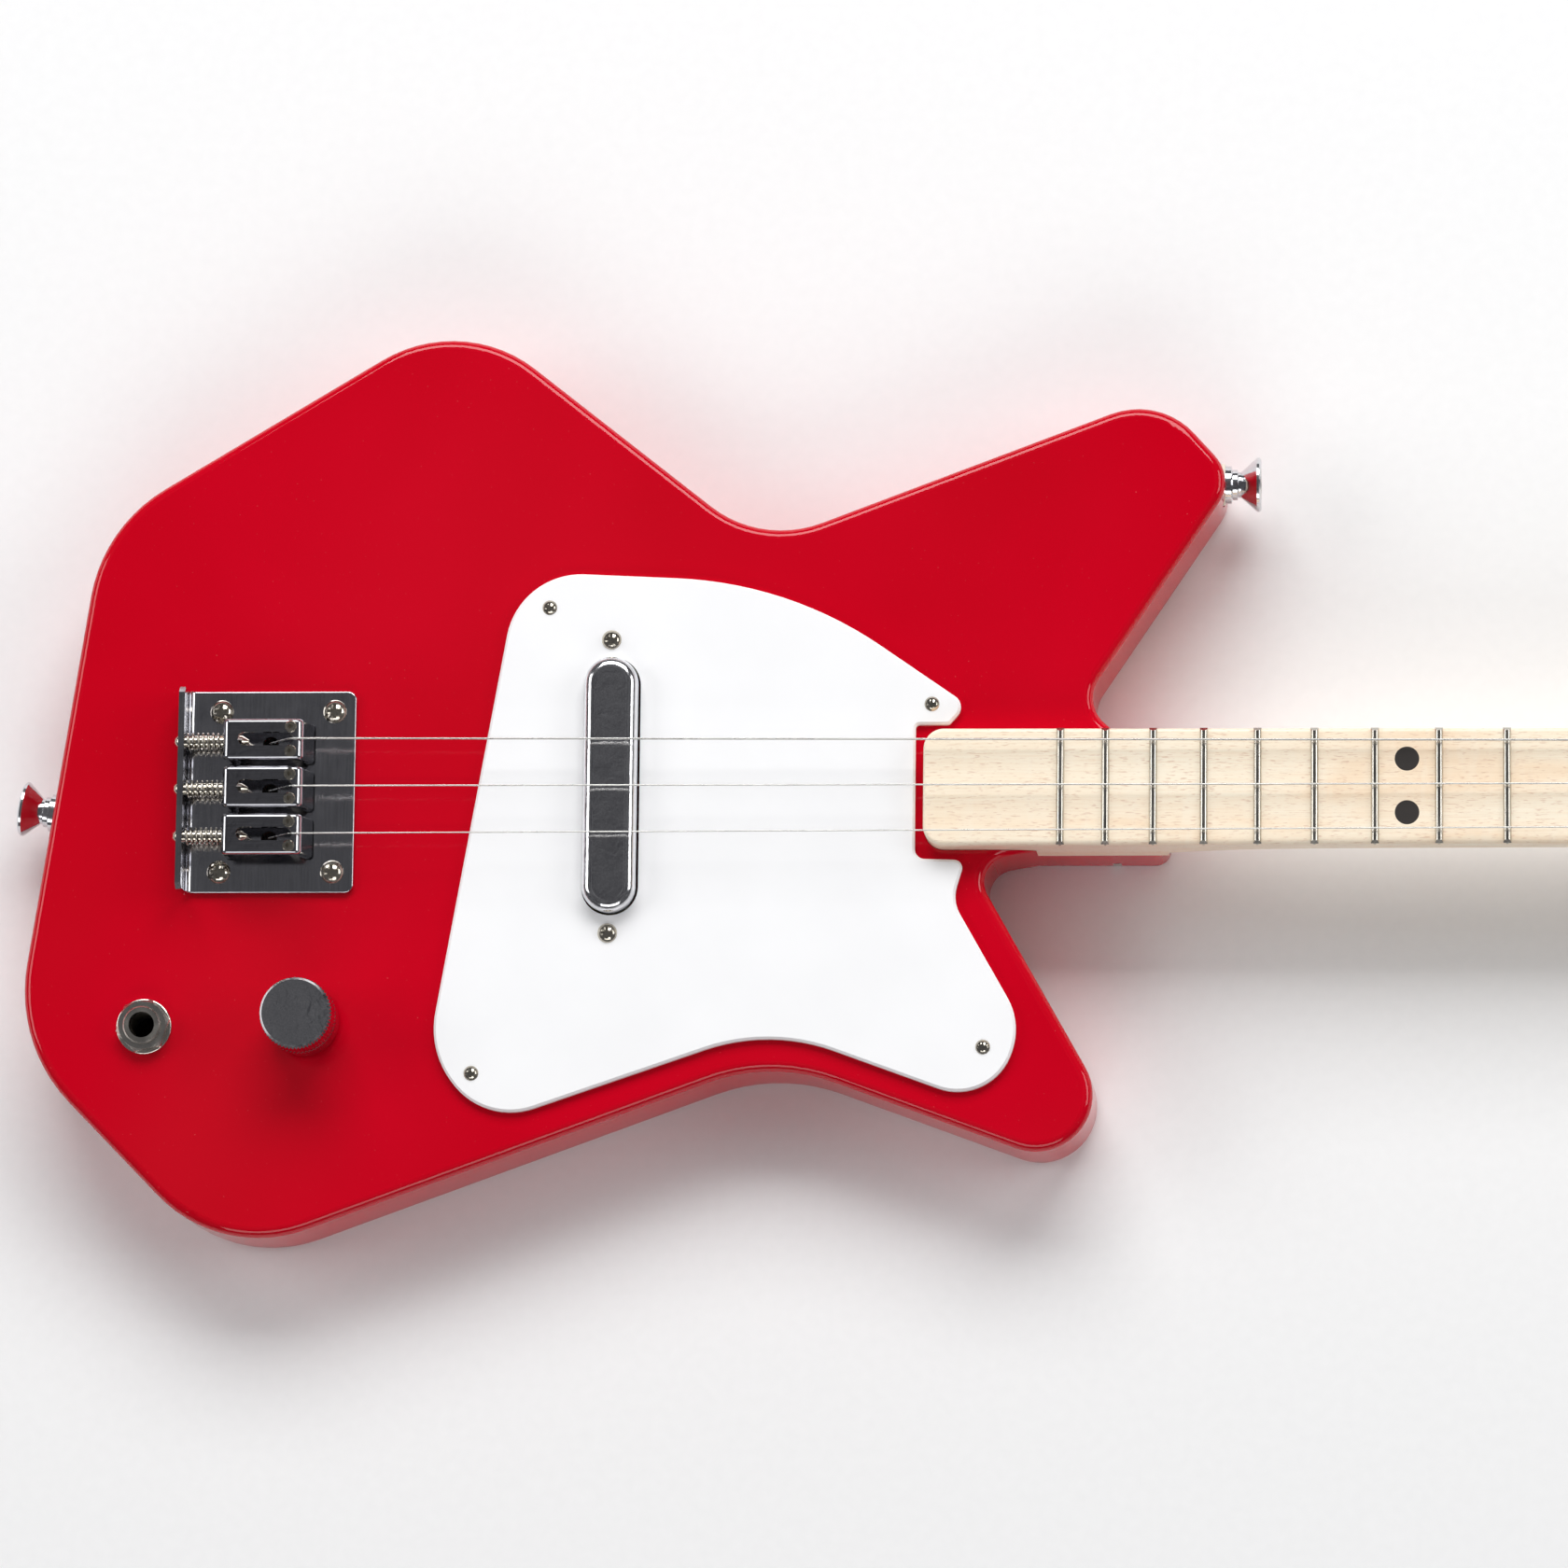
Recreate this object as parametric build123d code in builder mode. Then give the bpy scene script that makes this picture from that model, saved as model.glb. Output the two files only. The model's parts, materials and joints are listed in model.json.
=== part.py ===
from build123d import *
import os
from math import asin, cos, pi, sin

# A small three-string electric guitar, lying on its flat back.
# +X runs along the strings towards the headstock, +Y towards the bass side, +Z out of the face.
# The origin is on the back face, below the middle string, under the theoretical saddle line:
# the line one scale length from the nut, from which the frets are laid out. Millimetres.

# ---------------------------------------------------------------- driving dimensions
SCALE = 527.0
FRET_COUNT = 18
BODY_THICK = 28.0
BODY_EDGE_R = 2.5
STRING_SIDES = (1, 0, -1)
STRING_RADII = (0.25, 0.21, 0.18)
SADDLE_SPACING = 11.9
NUT_SPACING = 10.0

# Body outline: corners of the outline before rounding, each with its corner radius.
BODY_CORNERS = [
    (35.0, 122.5, 34.0),
    (111.0, 62.5, 28.5),
    (210.0, 100.0, 19.0),
    (229.0, 79.0, 10.0),
    (191.0, 22.0, 8.5),
    (207.0, 9.0, 4.0),
    (207.0, -10.0, 4.0),
    (163.5, -17.5, 6.5),
    (211.3, -101.4, 14.0),
    (115.0, -66.5, 45.5),
    (-21.0, -116.7, 35.5),
    (-74.3, -62.8, 41.0),
    (-55.0, 68.3, 38.5),
]

# Neck and fingerboard
NECK_END = 152.5
NECK_HALF_HEEL = 14.6
NECK_HALF_NUT = 13.8
NECK_END_R = 5.0
BOARD_TOP = 35.5
BOARD_ROLL_R = 1.0
NECK_SIDE = 5.0
POCKET_FLOOR = 17.5
POCKET_GAP = 0.1
HEEL_END = 212.5
TONGUE_END = HEEL_END
TONGUE_HALF = 14.4
SHAFT_START = 256.0
SHAFT_BACK = 16.5
FRET_CROWN_W = 2.0
FRET_CROWN_H = 1.0
FRET_TANG_W = 0.6
FRET_TANG_H = 1.8
FRET_BEVEL = 0.8
DOT_R = 3.0
DOT_DEPTH = 1.5
DOUBLE_DOT_Y = 6.65
SINGLE_DOT_FRETS = (3, 5, 7, 9)
DOUBLE_DOT_FRET = 12
NUT_THICK = 4.0
NUT_BOTTOM = 33.5
NUT_TOP = 38.0

# Headstock and the row of tuning machines
HEAD_TOP = 29.5
HEAD_BACK = 17.0
RAMP_END = 545.0
HEAD_BLEND_START = 512.0
TUNER_PITCH = 27.0
TUNER_FIRST_X = 566.0
POST_R = 3.0
POST_WAIST_R = 2.4
GEAR_TEETH = 14
GEAR_MODULE = 0.7
WORM_PITCH_R = 2.0
WORM_TIP_R = 2.5
WORM_SHAFT_R = 1.5
WORM_TURNS = 4
GEAR_MID_Z = 12.8
GEAR_THICK = 2.4
BASE_THICK = 1.2
EAR_Y = 6.0
RUN_GAP = 0.05

# Pickguard: corners before rounding, each with its corner radius.
GUARD_THICK = 2.0
GUARD_CORNERS = [
    (50.8, 55.5, 18.5),
    (118.3, 52.3, 98.0),
    (162.9, 21.5, 3.2),
    (158.5, 16.5, 1.5),
    (150.2, 16.5, 1.0),
    (150.2, -17.0, 2.5),
    (162.6, -17.4, 2.0),
    (159.6, -27.5, 9.0),
    (176.8, -57.6, 16.0),
    (170.2, -79.0, 14.0),
    (114.7, -59.0, 48.0),
    (44.2, -83.4, 18.0),
    (30.2, -64.6, 22.0),
]
GUARD_SCREWS = [(58.7, 46.2), (154.2, 21.6), (41.0, -70.5), (167.4, -63.9)]

# Pickup
PICKUP_X = 74.7
PICKUP_Y = 1.2
PICKUP_R = 6.7
PICKUP_LENGTH = 64.0
PICKUP_TOP = 35.5
PICKUP_WALL = 0.5
PICKUP_RIM_R = 2.8
PICKUP_SCREW_REACH = 36.8
PICKUP_SLOT_GAP = 0.35
PICKUP_CAVITY_FLOOR = 10.0
BRACKET_THICK = 1.2

# Bridge
BRIDGE_REAR = -32.7
BRIDGE_FRONT = 10.6
BRIDGE_WIDTH = 50.8
BRIDGE_THICK = 1.5
BRIDGE_LIP_TOP = 38.0
BRIDGE_SCREWS = [(-23.1, 20.2), (-23.1, -20.2), (5.3, 20.2), (5.3, -20.2)]
SADDLE_REAR = -21.5
SADDLE_TOP_FRONT = -1.8
SADDLE_FOOT_FRONT = 0.4
SADDLE_WIDTH = 10.2
SADDLE_TOP = 38.8
SADDLE_FOOT = 30.6
SADDLE_WALL = 1.5
SADDLE_SLOT = (-17.6, -3.6)
SADDLE_SLOT_W = 3.4
INTONATION_Z = 34.0
INTONATION_R = 1.5
HEIGHT_SCREW_X = -4.4
HEIGHT_SCREW_Y = 3.05
HEIGHT_SCREW_R = 1.5
STRING_HOLE_X = -10.65
STRING_HOLE_R = 2.0
FERRULE_R = 4.0
FERRULE_DEPTH = 9.0

# Volume control
KNOB_X = -0.8
KNOB_Y = -57.5
KNOB_R = 9.0
KNOB_BOTTOM = 29.0
KNOB_TOP = 46.5
SHAFT_R = 3.0
CAVITY_CEILING = 22.0
CAVITY = (-56.0, 14.0, -74.0, -44.0)
COVER_MARGIN = 6.0
COVER_THICK = 1.5

# Output socket
JACK_X = -41.1
JACK_Y = -58.7
JACK_BORE_R = 3.2
JACK_SLEEVE_R = 4.7
JACK_TOP = 32.4
JACK_BOTTOM = 20.4

# Strap buttons: base point on the body's side, and the direction that each one points.
STRAP_Z = 14.0
STRAP_PLACES = [((224.7, 79.6, STRAP_Z), (1, 0, 0)), ((-65.4, -3.1, STRAP_Z), (-0.989, 0.146, 0))]
FELT_R = 5.3
FELT_THICK = 1.5


# ---------------------------------------------------------------- helpers
# Alignment of a bore that starts at its location and runs down from there
DOWNWARD = (Align.CENTER, Align.CENTER, Align.MAX)
# Cross recess: its span and the width of its arms, as shares of the head's radius
CROSS_SPAN = 1.25
CROSS_WIDTH = 0.3


def finish(piece, name):
    """Label a finished piece and write it as its own STEP file."""
    piece.part.label = name
    export_step(piece.part, f"parts/{name}.step")


def fret_x(number):
    """Distance of a fret from the theoretical saddle line (equal temperament)."""
    return SCALE * 2 ** (-number / 12)


def neck_half(x):
    """Half the fingerboard's width at x."""
    share = (x - NECK_END) / (SCALE - NECK_END)
    return NECK_HALF_HEEL + share * (NECK_HALF_NUT - NECK_HALF_HEEL)


def string_y(side, x):
    """Where a string runs across the neck at x, in a straight line from saddle to nut."""
    return side * (SADDLE_SPACING + (NUT_SPACING - SADDLE_SPACING) * x / SCALE)


def rounded_shape(corners):
    """Sketch of a closed outline given as corners (x, y, corner radius)."""
    with BuildSketch() as shape:
        with BuildLine():
            Polyline(*[(x, y) for x, y, _ in corners], close=True)
        make_face()
        for x, y, radius in corners:
            if radius:
                fillet(shape.vertices().sort_by_distance((x, y))[0], radius)
    return shape.sketch


def cross_screw(head_r, head_h, shank_r, length):
    """Domed cross-recess screw: head above z = 0, shank pointing down."""
    dome_r = (head_r**2 + head_h**2) / (2 * head_h)
    half_angle = asin(head_r / dome_r) / 2
    dome_mid = (dome_r * sin(half_angle), head_h - dome_r + dome_r * cos(half_angle))
    with BuildPart() as screw:
        with BuildSketch(Plane.XZ):
            with BuildLine():
                Polyline((0, head_h), (0, -length), (shank_r * 0.3, -length), (shank_r, -length + shank_r))
                Line((shank_r, -length + shank_r), (shank_r, 0))
                Line((shank_r, 0), (head_r, 0))
                ThreePointArc((head_r, 0), dome_mid, (0, head_h))
            make_face()
        revolve(axis=Axis.Z)
        with BuildSketch(Plane.XY.offset(head_h)):
            Rectangle(head_r * CROSS_SPAN, head_r * CROSS_WIDTH)
            Rectangle(head_r * CROSS_WIDTH, head_r * CROSS_SPAN)
        extrude(amount=-head_h * 0.75, mode=Mode.SUBTRACT)
    return screw.part


def flat_screw(head_r, shank_r, length):
    """Countersunk cross-recess screw: flat head flush with z = 0, shank pointing down."""
    sink = head_r - shank_r
    with BuildPart() as screw:
        with BuildSketch(Plane.XZ):
            with BuildLine():
                Polyline((0, 0), (0, -length), (shank_r, -length), (shank_r, -sink), (head_r, 0), (0, 0))
            make_face()
        revolve(axis=Axis.Z)
        with BuildSketch():
            Rectangle(head_r * CROSS_SPAN, head_r * CROSS_WIDTH)
            Rectangle(head_r * CROSS_WIDTH, head_r * CROSS_SPAN)
        extrude(amount=-sink * 0.5, mode=Mode.SUBTRACT)
    return screw.part


def coil_spring(coil_r, wire_r, length, turns):
    """Compression spring on the Z axis, from z = 0 to z = length."""
    rise = length - 2 * wire_r
    with BuildPart() as spring:
        with BuildLine() as wire:
            Helix(pitch=rise / turns, height=rise, radius=coil_r, center=(0, 0, wire_r))
        with BuildSketch(Plane(origin=wire.line @ 0, z_dir=wire.line % 0)):
            Circle(wire_r)
        sweep(is_frenet=True)
    return spring.part


def place_all(shape, places):
    """Put a copy of a shape at each place and return the group."""
    with BuildPart() as group:
        with Locations(*places):
            add(shape)
    return group


def stack(place, *shapes):
    """Group several pieces that belong together, each kept as its own solid."""
    group = BuildPart()
    group.part = Compound([shape.moved(location) for shape in shapes for location in place])
    return group


os.makedirs("parts", exist_ok=True)

# ---------------------------------------------------------------- body
GUARD_TOP = BODY_THICK + GUARD_THICK
PICKUP_SCREWS = [(PICKUP_X - 0.4, PICKUP_Y + side * PICKUP_SCREW_REACH) for side in (1, -1)]
PICKUP_AXIS_Z = PICKUP_TOP - PICKUP_R
BRACKET_TOP = PICKUP_AXIS_Z - PICKUP_R
GUARD_SCREW_DEPTH = 9.0
PICKUP_SCREW_DEPTH = 13.0
BRIDGE_SCREW_DEPTH = 16.0
NECK_BOLTS = [(x, y) for x in (163.0, 199.0) for y in (9.0, -9.0)]
NECK_BOLT_TOP = 29.0
NECK_BOLT_R = 2.0
BOLT_FERRULE_R = 5.5
BOLT_FERRULE_DEPTH = 4.0
STRAP_SCREW_R = 1.8
STRAP_SCREW_DEPTH = 20.0
CAVITY_X = (CAVITY[0] + CAVITY[1]) / 2
CAVITY_Y = (CAVITY[2] + CAVITY[3]) / 2
CAVITY_L = CAVITY[1] - CAVITY[0]
CAVITY_W = CAVITY[3] - CAVITY[2]
CAVITY_R = 8.0
COVER_SCREW_R = 1.2
COVER_SCREW_X = CAVITY_L / 2 - 7
COVER_SCREW_Y = CAVITY_W / 2 + 3
COVER_SCREWS = [
    (CAVITY_X + sx * COVER_SCREW_X, CAVITY_Y + sy * COVER_SCREW_Y) for sx in (-1, 1) for sy in (-1, 1)
]
COVER_SCREW_DEPTH = 9.0
WIRE_HOLE_R = 3.0
WIRE_HOLE_START = (CAVITY[1] - 4, -56.0, 15.0)
WIRE_HOLE_END = (PICKUP_X - 6, -36.0, 15.0)

with BuildPart() as body:
    with BuildSketch():
        add(rounded_shape(BODY_CORNERS))
    extrude(amount=BODY_THICK)
    fillet(body.faces().sort_by(Axis.Z)[-1].edges() + body.faces().sort_by(Axis.Z)[0].edges(), BODY_EDGE_R)
    # The tongue is the shelf that carries the neck beyond the two cutaways.
    with BuildSketch():
        with Locations(((NECK_END + TONGUE_END) / 2, 0)):
            RectangleRounded(TONGUE_END - NECK_END, 2 * TONGUE_HALF, 4)
    extrude(amount=POCKET_FLOOR)
    # Neck pocket, open towards the neck
    with BuildSketch(Plane.XY.offset(POCKET_FLOOR)):
        with BuildLine():
            far = TONGUE_END + 6
            FilletPolyline(
                (far, neck_half(far) + POCKET_GAP),
                (NECK_END - POCKET_GAP, NECK_HALF_HEEL + POCKET_GAP),
                (NECK_END - POCKET_GAP, -NECK_HALF_HEEL - POCKET_GAP),
                (far, -neck_half(far) - POCKET_GAP),
                radius=NECK_END_R,
            )
            Line((far, -neck_half(far) - POCKET_GAP), (far, neck_half(far) + POCKET_GAP))
        make_face()
    extrude(amount=BODY_THICK, mode=Mode.SUBTRACT)
    # Pickup cavity under the pickguard
    with BuildSketch(Plane.XY.offset(PICKUP_CAVITY_FLOOR)):
        with Locations((PICKUP_X, PICKUP_Y)):
            RectangleRounded(21, 2 * PICKUP_SCREW_REACH + 16, 5)
    extrude(amount=BODY_THICK, mode=Mode.SUBTRACT)
    # Control cavity, open at the back, with a step for its cover
    with BuildSketch():
        with Locations((CAVITY_X, CAVITY_Y)):
            RectangleRounded(CAVITY_L, CAVITY_W, CAVITY_R)
    extrude(amount=CAVITY_CEILING, mode=Mode.SUBTRACT)
    with BuildSketch():
        with Locations((CAVITY_X, CAVITY_Y)):
            RectangleRounded(
                CAVITY_L + 2 * COVER_MARGIN + 0.4, CAVITY_W + 2 * COVER_MARGIN + 0.4, CAVITY_R + COVER_MARGIN
            )
    extrude(amount=COVER_THICK, mode=Mode.SUBTRACT)
    # Lead channel between the two cavities
    channel = Vector(*WIRE_HOLE_END) - Vector(*WIRE_HOLE_START)
    with BuildSketch(Plane(origin=WIRE_HOLE_START, z_dir=channel)):
        Circle(WIRE_HOLE_R)
    extrude(amount=channel.length, mode=Mode.SUBTRACT)
    # Holes down from the face: pickguard and bridge screws, potentiometer bushing, socket
    with Locations(*[(x, y, BODY_THICK) for x, y in GUARD_SCREWS]):
        Cylinder(1.1, GUARD_SCREW_DEPTH, align=DOWNWARD, mode=Mode.SUBTRACT)
    with Locations(*[(x, y, BODY_THICK) for x, y in BRIDGE_SCREWS]):
        Cylinder(1.7, BRIDGE_SCREW_DEPTH, align=DOWNWARD, mode=Mode.SUBTRACT)
    with Locations((KNOB_X, KNOB_Y, BODY_THICK)):
        Cylinder(3.5, BODY_THICK - CAVITY_CEILING, align=DOWNWARD, mode=Mode.SUBTRACT)
    with Locations((JACK_X, JACK_Y, BODY_THICK)):
        Cylinder(JACK_SLEEVE_R, BODY_THICK - CAVITY_CEILING, align=DOWNWARD, mode=Mode.SUBTRACT)
    # String holes, with a counterbore at the back for each ferrule
    with Locations(*[(STRING_HOLE_X, side * SADDLE_SPACING, BODY_THICK) for side in STRING_SIDES]):
        Cylinder(STRING_HOLE_R, BODY_THICK, align=DOWNWARD, mode=Mode.SUBTRACT)
    with Locations(*[(STRING_HOLE_X, side * SADDLE_SPACING, FERRULE_DEPTH) for side in STRING_SIDES]):
        Cylinder(FERRULE_R, FERRULE_DEPTH, align=DOWNWARD, mode=Mode.SUBTRACT)
    # Neck bolts come up from the back through recessed ferrules
    with Locations(*[(x, y, POCKET_FLOOR) for x, y in NECK_BOLTS]):
        Cylinder(NECK_BOLT_R + 0.1, POCKET_FLOOR, align=DOWNWARD, mode=Mode.SUBTRACT)
    with Locations(*[(x, y, BOLT_FERRULE_DEPTH) for x, y in NECK_BOLTS]):
        Cylinder(BOLT_FERRULE_R, BOLT_FERRULE_DEPTH, align=DOWNWARD, mode=Mode.SUBTRACT)
    with Locations(*[(x, y, COVER_THICK + COVER_SCREW_DEPTH) for x, y in COVER_SCREWS]):
        Cylinder(COVER_SCREW_R, COVER_SCREW_DEPTH, align=DOWNWARD, mode=Mode.SUBTRACT)
    # A flat seat and a screw hole under each strap button
    for base, direction in STRAP_PLACES:
        with BuildSketch(Plane(origin=base, z_dir=direction)):
            Circle(FELT_R + 0.3)
        extrude(amount=6, mode=Mode.SUBTRACT)
        with BuildSketch(Plane(origin=base, z_dir=direction)):
            Circle(STRAP_SCREW_R)
        extrude(amount=-STRAP_SCREW_DEPTH, mode=Mode.SUBTRACT)
finish(body, "body")

# ---------------------------------------------------------------- neck
TRUSS_R = 2.5
TRUSS_Z = 25.0
TRUSS_END = 508.0
NUT_X = SCALE + NUT_THICK / 2


def neck_section(x, half, back, squareness):
    """Cross-section of the neck: flat top, short upright sides and a superellipse back."""
    shoulder = BOARD_TOP - NECK_SIDE
    depth = shoulder - back
    steps = 12
    curve = [(half, shoulder)]
    for step in range(1, steps):
        angle = pi * step / steps
        across = abs(cos(angle)) ** (2 / squareness) * (1 if cos(angle) > 0 else -1)
        down = sin(angle) ** (2 / squareness)
        curve.append((half * across, shoulder - depth * down))
    curve.append((-half, shoulder))
    with BuildSketch(Plane.YZ.offset(x)) as section:
        with BuildLine():
            Spline(*curve, tangents=((0, -1), (0, 1)))
            Polyline((-half, shoulder), (-half, BOARD_TOP), (half, BOARD_TOP), (half, shoulder))
        make_face()
    return section


HEAD_OUTLINE = [
    (528.0, 13.8, 0.0),
    (546.0, 15.2, 14.0),
    (553.0, 31.0, 7.0),
    (566.0, 30.0, 8.0),
    (637.0, 0.5, 9.0),
    (630.0, -21.0, 12.0),
    (590.0, -16.0, 60.0),
    (528.0, -13.8, 0.0),
]
TUNER_STEP_Y = -NUT_SPACING
TUNER_STEP_X = (TUNER_PITCH**2 - NUT_SPACING**2) ** 0.5
TUNER_FIRST_Y = NUT_SPACING + POST_WAIST_R + STRING_RADII[0] + 0.1
TUNER_ROW = (TUNER_STEP_X, TUNER_STEP_Y, 0)
TUNER_PLANES = [
    Plane(
        origin=(TUNER_FIRST_X + index * TUNER_STEP_X, TUNER_FIRST_Y + index * TUNER_STEP_Y, 0),
        x_dir=TUNER_ROW,
        z_dir=(0, 0, 1),
    )
    for index in range(len(STRING_SIDES))
]
BUSHING_R = 4.0
BASE_SCREWS = [(-3.8, 8.8), (-3.8, -8.8)]

with BuildPart() as neck:
    with BuildSketch(Plane.XY.offset(POCKET_FLOOR)):
        with BuildLine():
            FilletPolyline(
                (HEEL_END, neck_half(HEEL_END)),
                (NECK_END, NECK_HALF_HEEL),
                (NECK_END, -NECK_HALF_HEEL),
                (HEEL_END, -neck_half(HEEL_END)),
                radius=NECK_END_R,
            )
            Line((HEEL_END, -neck_half(HEEL_END)), (HEEL_END, neck_half(HEEL_END)))
        make_face()
    extrude(amount=BOARD_TOP - POCKET_FLOOR)
    heel_section = neck_section(HEEL_END, neck_half(HEEL_END), POCKET_FLOOR, 9)
    shaft_section = neck_section(SHAFT_START, neck_half(SHAFT_START), SHAFT_BACK, 2)
    loft(sections=[heel_section.sketch, shaft_section.sketch])
    blend_section = neck_section(HEAD_BLEND_START, neck_half(HEAD_BLEND_START), SHAFT_BACK, 2)
    loft(sections=[shaft_section.sketch, blend_section.sketch])
    ramp_section = neck_section(RAMP_END, NECK_HALF_NUT, HEAD_BACK, 9)
    loft(sections=[blend_section.sketch, ramp_section.sketch])
    # Rolled edge all round the fingerboard, except at its headstock end
    board_rim = neck.faces().filter_by(Axis.Z).sort_by(Axis.Z)[-1].edges()
    fillet(board_rim.sort_by(Axis.X)[:-1], BOARD_ROLL_R)
    # Behind the nut the wood falls in a scoop to the face of the headstock.
    with BuildSketch(Plane.XZ):
        with BuildLine():
            scoop_start = SCALE + NUT_THICK + 1.5
            scoop_mid = (scoop_start + 3.4, HEAD_TOP + 1.1)
            Line((scoop_start, BOARD_TOP + 5), (scoop_start, BOARD_TOP - 2))
            ThreePointArc((scoop_start, BOARD_TOP - 2), scoop_mid, (RAMP_END, HEAD_TOP))
            Polyline((RAMP_END, HEAD_TOP), (RAMP_END + 5, HEAD_TOP), (RAMP_END + 5, BOARD_TOP + 5))
            Line((RAMP_END + 5, BOARD_TOP + 5), (scoop_start, BOARD_TOP + 5))
        make_face()
    extrude(amount=40, both=True, mode=Mode.SUBTRACT)
    with BuildSketch(Plane.XY.offset(HEAD_BACK)):
        add(rounded_shape(HEAD_OUTLINE))
    extrude(amount=HEAD_TOP - HEAD_BACK)
    # Seat for the nut, fret slots, inlay holes
    with BuildSketch(Plane.XY.offset(NUT_BOTTOM)):
        with Locations((NUT_X, 0)):
            Rectangle(NUT_THICK, 40)
    extrude(amount=10, mode=Mode.SUBTRACT)
    for number in range(1, FRET_COUNT + 1):
        with BuildSketch(Plane.XY.offset(BOARD_TOP)):
            with Locations((fret_x(number), 0)):
                Rectangle(FRET_TANG_W, 40)
        extrude(amount=-FRET_TANG_H, mode=Mode.SUBTRACT)
    dot_places = [((fret_x(n) + fret_x(n - 1)) / 2, 0) for n in SINGLE_DOT_FRETS]
    double_x = (fret_x(DOUBLE_DOT_FRET) + fret_x(DOUBLE_DOT_FRET - 1)) / 2
    dot_places += [(double_x, DOUBLE_DOT_Y), (double_x, -DOUBLE_DOT_Y)]
    with Locations(*[(x, y, BOARD_TOP) for x, y in dot_places]):
        Cylinder(DOT_R, DOT_DEPTH, align=DOWNWARD, mode=Mode.SUBTRACT)
    # Bolt holes in the heel, the truss rod bore, and the tuning machines' holes
    with Locations(*[(x, y, NECK_BOLT_TOP) for x, y in NECK_BOLTS]):
        Cylinder(NECK_BOLT_R, NECK_BOLT_TOP - POCKET_FLOOR, align=DOWNWARD, mode=Mode.SUBTRACT)
    with BuildSketch(Plane(origin=(NECK_END, 0, TRUSS_Z), z_dir=(1, 0, 0))):
        Circle(TRUSS_R)
    extrude(amount=TRUSS_END - NECK_END, mode=Mode.SUBTRACT)
    for plane in TUNER_PLANES:
        with BuildSketch(plane.offset(HEAD_BACK)):
            Circle(BUSHING_R)
        extrude(amount=HEAD_TOP - HEAD_BACK, mode=Mode.SUBTRACT)
        with BuildSketch(plane.offset(HEAD_BACK)):
            with Locations(*BASE_SCREWS):
                Circle(1.0)
        extrude(amount=7, mode=Mode.SUBTRACT)
finish(neck, "neck")

with BuildPart() as truss_rod:
    with BuildSketch(Plane(origin=(NECK_END + 1, 0, TRUSS_Z), z_dir=(1, 0, 0))):
        Circle(TRUSS_R)
    extrude(amount=TRUSS_END - NECK_END - 1)
    with BuildSketch(Plane(origin=(NECK_END + 1, 0, TRUSS_Z), z_dir=(1, 0, 0))):
        RegularPolygon(1.6, 6)
    extrude(amount=6, mode=Mode.SUBTRACT)
finish(truss_rod, "truss_rod")


def fret(half):
    """One fret across the Y axis: domed crown with bevelled ends, and a tang below."""
    rise = FRET_CROWN_H
    with BuildPart() as wire:
        with BuildSketch(Plane.XZ):
            with BuildLine():
                Line((-FRET_CROWN_W / 2, 0), (FRET_CROWN_W / 2, 0))
                ThreePointArc((FRET_CROWN_W / 2, 0), (0, rise), (-FRET_CROWN_W / 2, 0))
            make_face()
        extrude(amount=half, both=True)
        bevel_cut = [(half - FRET_BEVEL, rise), (half + 0.1, rise), (half + 0.1, 0)]
        for side in (1, -1):
            with BuildSketch(Plane.YZ):
                Polygon(*[(side * y, z) for y, z in bevel_cut], align=None)
            extrude(amount=FRET_CROWN_W, both=True, mode=Mode.SUBTRACT)
        with BuildSketch(Plane.XY):
            Rectangle(FRET_TANG_W, 2 * (half - 0.05))
        extrude(amount=-FRET_TANG_H + 0.05)
    return wire.part


with BuildPart() as frets:
    for number in range(1, FRET_COUNT + 1):
        with Locations((fret_x(number), 0, BOARD_TOP)):
            add(fret(neck_half(fret_x(number))))
finish(frets, "frets")

with BuildPart() as fret_markers:
    with BuildSketch(Plane.XY.offset(BOARD_TOP)):
        with Locations(*dot_places):
            Circle(DOT_R)
    extrude(amount=-DOT_DEPTH)
finish(fret_markers, "fret_markers")

# ---------------------------------------------------------------- nut
STRING_Z_SADDLE = SADDLE_TOP + 0.35
STRING_Z_NUT = 37.4

with BuildPart() as nut:
    with BuildSketch(Plane.XY.offset(NUT_BOTTOM)):
        with Locations((NUT_X, 0)):
            Rectangle(NUT_THICK, 2 * NECK_HALF_NUT)
    extrude(amount=NUT_TOP - NUT_BOTTOM)
    fillet(nut.edges().group_by(Axis.Z)[-1].filter_by(Axis.Y), 1.2)
    fillet(nut.edges().group_by(Axis.Z)[-1].filter_by(Axis.X), 0.6)
    for side, radius in zip(STRING_SIDES, STRING_RADII):
        with BuildSketch(Plane.XY.offset(STRING_Z_NUT - radius - 0.05)):
            with Locations((NUT_X, string_y(side, SCALE))):
                Rectangle(2 * NUT_THICK, 2 * radius + 0.15)
        extrude(amount=3, mode=Mode.SUBTRACT)
finish(nut, "nut")

# ---------------------------------------------------------------- neck bolts
BOLT_HEAD_R = 3.8
with BuildPart() as neck_ferrules:
    with BuildSketch():
        with Locations(*NECK_BOLTS):
            Circle(BOLT_FERRULE_R)
    extrude(amount=BOLT_FERRULE_DEPTH)
    with Locations(*[(x, y, BOLT_FERRULE_DEPTH) for x, y in NECK_BOLTS]):
        Cylinder(NECK_BOLT_R + 0.1, BOLT_FERRULE_DEPTH, align=DOWNWARD, mode=Mode.SUBTRACT)
    for x, y in NECK_BOLTS:
        sink_bottom = (x + NECK_BOLT_R, BOLT_HEAD_R - NECK_BOLT_R)
        with BuildSketch(Plane.XZ.offset(-y)):
            Polygon((x, 0), (x + BOLT_HEAD_R, 0), sink_bottom, (x, 2), align=None)
        revolve(axis=Axis((x, y, 0), (0, 0, 1)), mode=Mode.SUBTRACT)
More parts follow.
